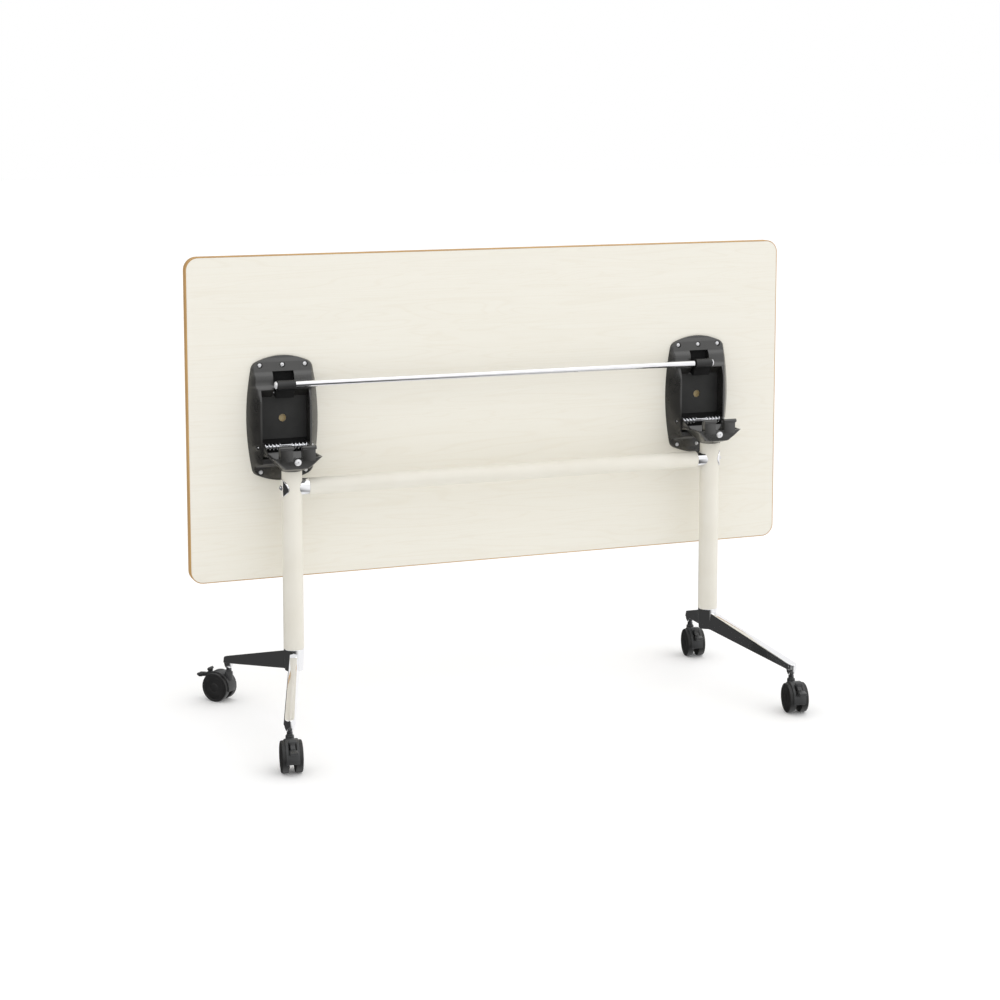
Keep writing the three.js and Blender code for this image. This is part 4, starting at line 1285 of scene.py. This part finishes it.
# %% Arms
STEM_X = middle_mm("front_right_caster_stem")[0]
STEM_Y = {row: middle_mm(row + "_right_caster_stem")[1] for row in ("front", "back")}
HUB_RISE = 53
HUB_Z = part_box("left_foot")[0].z / MM + HUB_RISE
TIP_Z = HUB_Z - HUB_RISE
TIP_TOP = TIP_Z + 23
ARM_NEAR, ARM_ROOT, ARM_UNDER = 25, COLUMN_LOW - 10, TIP_Z + 6
ARM_HALF = 14
ROOT_LEAN, TIP_LEAN = 4.2, 2.2
ARM_CROWN, ARM_ROUND, ARM_SOFT = 0.9, 1.6, 1.2
ARM_HOLD = 0.5
ARM_SLICES = 12
END_TURNS = (0, 20, 38, 54, 68, 80)


def arm_ring(reach, low, high, drawn_in, narrow=1):
    """One slice across the arm: soft lower corners, leaning sides, crowned top with round edges."""
    edge = high - ARM_CROWN - ARM_ROUND
    top_half = ARM_HALF - drawn_in
    flat = top_half - ARM_ROUND
    lean = drawn_in / (edge - low - ARM_SOFT)
    under = [(-ARM_HALF + ARM_SOFT, low), (ARM_HALF - ARM_SOFT, low)]
    side = [
        (ARM_HALF, low + ARM_SOFT),
        (ARM_HALF - lean * ARM_HOLD, low + ARM_SOFT + ARM_HOLD),
        (top_half + lean * ARM_HOLD, edge - ARM_HOLD),
        *arc_points((flat, edge), ARM_ROUND, math.degrees(lean), 85, 4),
    ]
    crown = []
    for i in range(1, 10):
        share = 1 - i / 5
        crown.append((flat * share, high - ARM_CROWN * share**2))
    other_side = [(-x, z) for x, z in reversed(side)]
    return [(x * narrow, reach, z) for x, z in under + side + crown + other_side]


def arm(length):
    fall = (ARM_ROOT - TIP_TOP) / (length - ARM_NEAR)
    rings = [arm_ring(0, HUB_Z, ARM_ROOT, ROOT_LEAN)]
    for i in range(ARM_SLICES):
        share = i / ARM_SLICES
        rings.append(
            arm_ring(
                ARM_NEAR + share * (length - ARM_NEAR),
                HUB_Z + share * (ARM_UNDER - HUB_Z),
                ARM_ROOT + share * (TIP_TOP - ARM_ROOT),
                ROOT_LEAN + share * (TIP_LEAN - ROOT_LEAN),
            )
        )
    for turn in map(math.radians, END_TURNS):
        past = ARM_HALF * math.sin(turn)
        high = TIP_TOP - fall * past
        rings.append(arm_ring(length + past, ARM_UNDER, high, TIP_LEAN, math.cos(turn)))
    return lofted("arm", rings)


print("arms fall from", round(ARM_ROOT, 1), "to", round(TIP_TOP, 1), "mm")

# %% [markdown]
# Hub, arms and the round knuckles over the casters are welded into one body. The sockets for the
# caster stems and the hole for the bolt up into the column are carved from below.

# %% Feet
KNUCKLE_LOW = TIP_Z - 8
STEM_R = 5.5
FOOT_BOLT_R, FOOT_BOLT_HEAD = 5, 8


def hub(name):
    rest = COLUMN_LOW - FIT
    return turned(
        name,
        [
            (22.0, HUB_Z), (22.5, HUB_Z + 0.5), (24.9, COLUMN_LOW - 1), (24.4, rest),
            (SPIGOT_R, rest), (SPIGOT_R, COLUMN_LOW + 39), (21.6, COLUMN_LOW + 40),
        ],
        96,
    )


def knuckle():
    profile = [(7.8, 0), (8.8, 1), (11.0, 6), (12.2, 12), (12.4, 17), (11.4, 20)]
    return turned("tip", [(radius, KNUCKLE_LOW + height) for radius, height in profile], 48)


def foot(name, sign):
    body = hub(name)
    for row in ("front", "back"):
        stem = Vector((sign * (STEM_X - COLUMN_X), STEM_Y[row] - COLUMN_Y))
        place = (stem.x, stem.y, 0)
        turn = Matrix.Rotation(math.atan2(-stem.x, stem.y), 4, "Z")
        welded(body, placed(arm(stem.length), turn), placed(knuckle(), at=place))
        socket = bar("socket", STEM_R + FIT, KNUCKLE_LOW - 1, TIP_TOP - 4 + FIT, sides=32)
        carved(body, placed(socket, at=place))
    carved(
        body,
        bar("bolt_seat", FOOT_BOLT_HEAD + FIT, HUB_Z - 1, HUB_Z + 8.6, sides=40),
        bar("bolt_bore", FOOT_BOLT_R + FIT, HUB_Z, HUB_Z + 80, sides=32),
    )
    return smooth(body, 30)


for side, sign in SIDES:
    piece = on_column(foot(side + "_foot_casting", sign), sign, side + "_foot", polished)
    bolt = button_bolt(side + "_foot_screw", FOOT_BOLT_HEAD, 8, FOOT_BOLT_R, 70)
    placed(bolt, Matrix.Rotation(math.pi, 4, "X"), (0, 0, HUB_Z + 8 + FIT))
    on_column(bolt, sign, side + "_foot_bolt", zinc)
print("foot:", len(piece.data.polygons), "faces")

# %% [markdown]
# ## Casters
#
# Each caster has a stem, a charcoal hood between two black wheels, an axle and a brake lever. All
# are made once, round a stem at the origin with the trail along Y. The hood is a sector of a disc
# with room cut out for both wheels, so that its web, its shell and its neck are one moulding.

# %% Wheel, hood and stem
WHEEL_R, WHEEL_GAP, WHEEL_ROOM = 37.5, 14.4, 0.6
TRAIL = 30
AXLE_R, AXLE_DEEP = 3, 13
NECK_TOP, STEM_LOW = 83, 64
HOOD_HALF, HOOD_SHELL = 16, 2.7
HOOD_OUT = WHEEL_R + WHEEL_ROOM + HOOD_SHELL
BRAKE_REACH, BRAKE_TURN = 31, 52
BRAKE_HALF, PEDAL_HALF = 5.5, 9.4


def polar(reach, degrees):
    """A point in the caster's side view, from the axle."""
    angle = math.radians(degrees)
    return (TRAIL + reach * math.cos(angle), WHEEL_R + reach * math.sin(angle))


BRAKE_PIVOT = polar(BRAKE_REACH, BRAKE_TURN)


def wheel():
    tread = [(34.4, 0), (36.6, 0.7), (37.5, 2.6), (37.5, 14.6), (37.1, 16.2), (35.9, 17.3)]
    groove = [(34.0, 17.7), (32.6, 17.4), (31.7, 16.4), (30.6, 16.2), (29.4, 16.5)]
    face = [(13.0, 17.5), (12.0, 17.1), (11.0, 17.5), (3.0, 18)]
    disc = turned("wheel", tread + groove + face, 96)
    carved(disc, bar("axle_bore", AXLE_R + FIT, -1, AXLE_DEEP, sides=32))
    return smooth(placed(disc, TO_X, (WHEEL_GAP / 2, TRAIL, WHEEL_R)), 28)


def neck():
    profile = [(10.4, -25), (10, -6), (9.4, -4.6), (7.2, -4), (7, -0.6), (6.6, 0)]
    return turned("neck", [(radius, NECK_TOP + height) for radius, height in profile], 64)


def hood():
    web, beyond = WHEEL_GAP / 2 - WHEEL_ROOM, 2 * HOOD_HALF
    centre = (TRAIL, WHEEL_R)
    sector = [centre, *arc_points(centre, HOOD_OUT, -13, 193, 80)]
    body = softened(across("hood", sector, -HOOD_HALF, HOOD_HALF), 1.6, 3, 40)
    welded(body, bar_x("axle_boss", 9, -web, web, *centre, sides=48), neck())
    slot = [
        BRAKE_PIVOT,
        polar(2 * HOOD_OUT, BRAKE_TURN - math.degrees(1.05)),
        polar(2 * HOOD_OUT, BRAKE_TURN + math.degrees(0.5)),
    ]
    slot_half = PEDAL_HALF + 0.6
    carved(
        body,
        bar_x("wheel_room", WHEEL_R + WHEEL_ROOM, web, beyond, *centre, sides=96),
        bar_x("wheel_room", WHEEL_R + WHEEL_ROOM, -beyond, -web, *centre, sides=96),
        bar_x("brake_socket", 4.3, -17, 17, *BRAKE_PIVOT, sides=32),
        across("brake_slot", slot, -slot_half, slot_half),
        bar_x("axle_bore", AXLE_R + FIT, -17, 17, *centre, sides=32),
        bar("stem_bore", STEM_R + FIT, STEM_LOW, NECK_TOP + 1, sides=32),
    )
    return smooth(body, 32)


def stem():
    low, collar, top = STEM_LOW + FIT, NECK_TOP + 0.6, TIP_TOP - 4 - FIT
    profile = [
        (STEM_R - 0.5, low), (STEM_R, low + 0.5), (STEM_R, collar),
        (6.6, collar), (7, collar + 0.4), (7, collar + 2.6), (6.6, collar + 3),
        (STEM_R, collar + 3), (STEM_R, top - 0.5), (STEM_R - 0.5, top),
    ]
    return smooth(turned("stem", profile, 40))


def axle():
    half = WHEEL_GAP / 2 + AXLE_DEEP - FIT
    return smooth(bar_x("axle", AXLE_R, -half, half, TRAIL, WHEEL_R, 0.4, 32))


print("hood reaches", round(HOOD_OUT, 1), "mm round the axle")

# %% [markdown]
# The brake lever is a rocker with a wide pedal at one end and a wide release tab at the other. Its
# outlines are set by angle and reach from the axle, as the hood is, so that it follows the hood.

# %% Brake lever
def swollen(points, share=1.03):
    """The same outline a little larger, so that pieces to be welded share no face."""
    middle = [sum(axis) / len(points) for axis in zip(*points)]
    return [tuple(m + share * (p - m) for p, m in zip(point, middle)) for point in points]


def brake():
    clear = WHEEL_R + HOOD_SHELL + 1.2
    pedal_end = [polar(60, 18), polar(68, 19), polar(69, 23)]
    release_end = [polar(53, 54), polar(54, 60), polar(49, 62)]
    rocker = [
        polar(clear + 1, 57), polar(clear + 1, 30), *pedal_end,
        polar(clear + 8, 36), polar(clear + 6, 48), *release_end,
    ]
    stalk = [polar(31, 57), polar(31, 46), polar(clear + 4, 40), polar(clear + 4, 54)]
    pedal = [polar(52.7, 21.8), *pedal_end, polar(54.1, 31.8)]
    release = [polar(49, 51), *release_end, polar(46.5, 59.8)]
    lever = softened(across("brake", rocker, -BRAKE_HALF, BRAKE_HALF), 0.8, 2, 20)
    welded(
        lever,
        softened(across("pedal", swollen(pedal), -PEDAL_HALF, PEDAL_HALF), 1.1, 3, 20),
        softened(across("release", swollen(release), -PEDAL_HALF, PEDAL_HALF), 1.0, 3, 20),
        across("stalk", stalk, 0.3 - BRAKE_HALF, BRAKE_HALF - 0.3),
        bar_x("brake_boss", 4, 0.1 - BRAKE_HALF, BRAKE_HALF - 0.1, *BRAKE_PIVOT, sides=40),
    )
    return smooth(lever, 32)


half_turn = Matrix.Translation((0, 2 * TRAIL * MM, 0)) @ Matrix.Rotation(math.pi, 4, "Z")
first_wheel = wheel()
patterns = {
    "stem": (stem(), dark_steel),
    "hood": (hood(), hood_grey),
    "axle": (axle(), zinc),
    "wheel_1": (first_wheel, wheel_black),
    "wheel_2": (copied(first_wheel, "second_wheel", half_turn), wheel_black),
    "brake": (brake(), hood_grey),
}
print("caster:", {part: len(piece.data.polygons) for part, (piece, _) in patterns.items()}, "faces")

# %% [markdown]
# The six pieces are copied to the four corners. Every caster trails another way, as casters do
# when a table has been pushed about, and the model's own wheel joint says which way that is.

# %% The four corners
joint_axis = {joint["name"]: joint["axis"] for joint in record["behaviour"]["joints"]}
for row in ("front", "back"):
    for side, sign in SIDES:
        corner = f"{row}_{side}"
        along, aside, _ = joint_axis[corner + "_wheel_1_spin"]
        turn = Matrix.Rotation(math.atan2(aside, along), 4, "Z")
        for part, (pattern, finish) in patterns.items():
            place = (sign * STEM_X, STEM_Y[row], 0)
            piece = copied(pattern, f"{corner}_{part}", turn, place)
            stands_for(piece, f"{corner}_caster_{part}", finish)
discarded(*(pattern for pattern, _ in patterns.values()))
print(len(set(dressed)), "nodes dressed,", len(set(body_of_node) - set(dressed)), "left bare")

# %% [markdown]
# ## Studio
#
# The table stands on a plain white floor. The floor keeps the table's shadow, and a little glow
# that only the camera sees lifts it to the white of the backdrop. It is left out of reflections,
# so that the metals show the studio's walls all round.

# %% Floor
FLOOR_SIZE, FLOOR_GLOW = 60, 0.05
only()
bpy.ops.mesh.primitive_plane_add(size=FLOOR_SIZE)
floor = named("studio_floor")
floor.visible_glossy = False


def floor_nodes(wire):
    seen = wire.add("LightPath", out="Is Camera Ray")
    return {
        "Base Color": (*grey(1), 1),
        "Emission Color": seen.blend(grey(0), grey(FLOOR_GLOW)),
        "Roughness": 0.9,
    }


floor.data.materials.append(
    new_finish("white_floor", floor_nodes, **{"Specular IOR Level": 0.0, "Emission Strength": 1.0})
)
floor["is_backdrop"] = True

# %% [markdown]
# An even white sky and one broad soft lamp light the table at a plain level. Polished metal would
# vanish in an all-white studio, so in reflections alone the left and the back are dark, which
# gives the feet their dark flanks, while the right, the front and the ceiling stay white.

# %% Sky and lamps
DARK_WALL = 0.045
SHADE_SIDE, LIGHT_SIDE = 0.75, 1.15
SUN, SUN_SPREAD = 0.38, math.radians(60)
SUN_TURN = (math.radians(30), 0, math.radians(35))

world = bpy.data.worlds.new("studio")
bpy.context.scene.world = world
world.use_nodes = True
world.node_tree.nodes.clear()
sky = Wire(world.node_tree)
direction = sky.add("TexCoord", out="Generated")
x, y, z = (sky.add("SeparateXYZ", {"Vector": direction}, out=axis) for axis in "XYZ")
right_wall = (x * 0.95 - y * 0.31 + z * 0.3).between(0.1, 0.8)
back_wall = (x * 0.95 + y * 0.31).between(0.5, 0.65)
ceiling_and_floor = (z - y * 0.3).between(0.1, 0.4) + (0 - z).between(0.65, 1.0)
lit = sky.sum("MAXIMUM", sky.sum("MAXIMUM", right_wall, back_wall), ceiling_and_floor)
glossy = sky.add("LightPath", out="Is Glossy Ray")
seen = sky.add("LightPath", out="Is Camera Ray")
mirror_sky = lit.blend(grey(DARK_WALL), grey(1))
soft_sky = x.between(-1.0, 1.0).blend(grey(SHADE_SIDE), grey(LIGHT_SIDE))
colour = seen.blend(glossy.blend(soft_sky, mirror_sky), grey(1))
backdrop = sky.add("Background", {"Color": colour, "Strength": 1.0})
sky.add("OutputWorld", {"Surface": backdrop})

only()
bpy.ops.object.light_add(type="SUN", rotation=SUN_TURN)
key = bpy.context.active_object
key.name = "key_lamp"
key.data.energy = SUN
key.data.angle = SUN_SPREAD
bpy.context.scene.view_settings.view_transform = "Standard"
print("sky with", len(world.node_tree.nodes), "nodes, sun", SUN)

# %% [markdown]
# ## The dressed table's size
#
# The dressed table must not outgrow its solids, so the box round it is printed.

# %% Size of the dressed table
bpy.context.view_layer.update()
low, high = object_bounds()
print("visual box", [round(v, 4) for v in (*low, *high)])
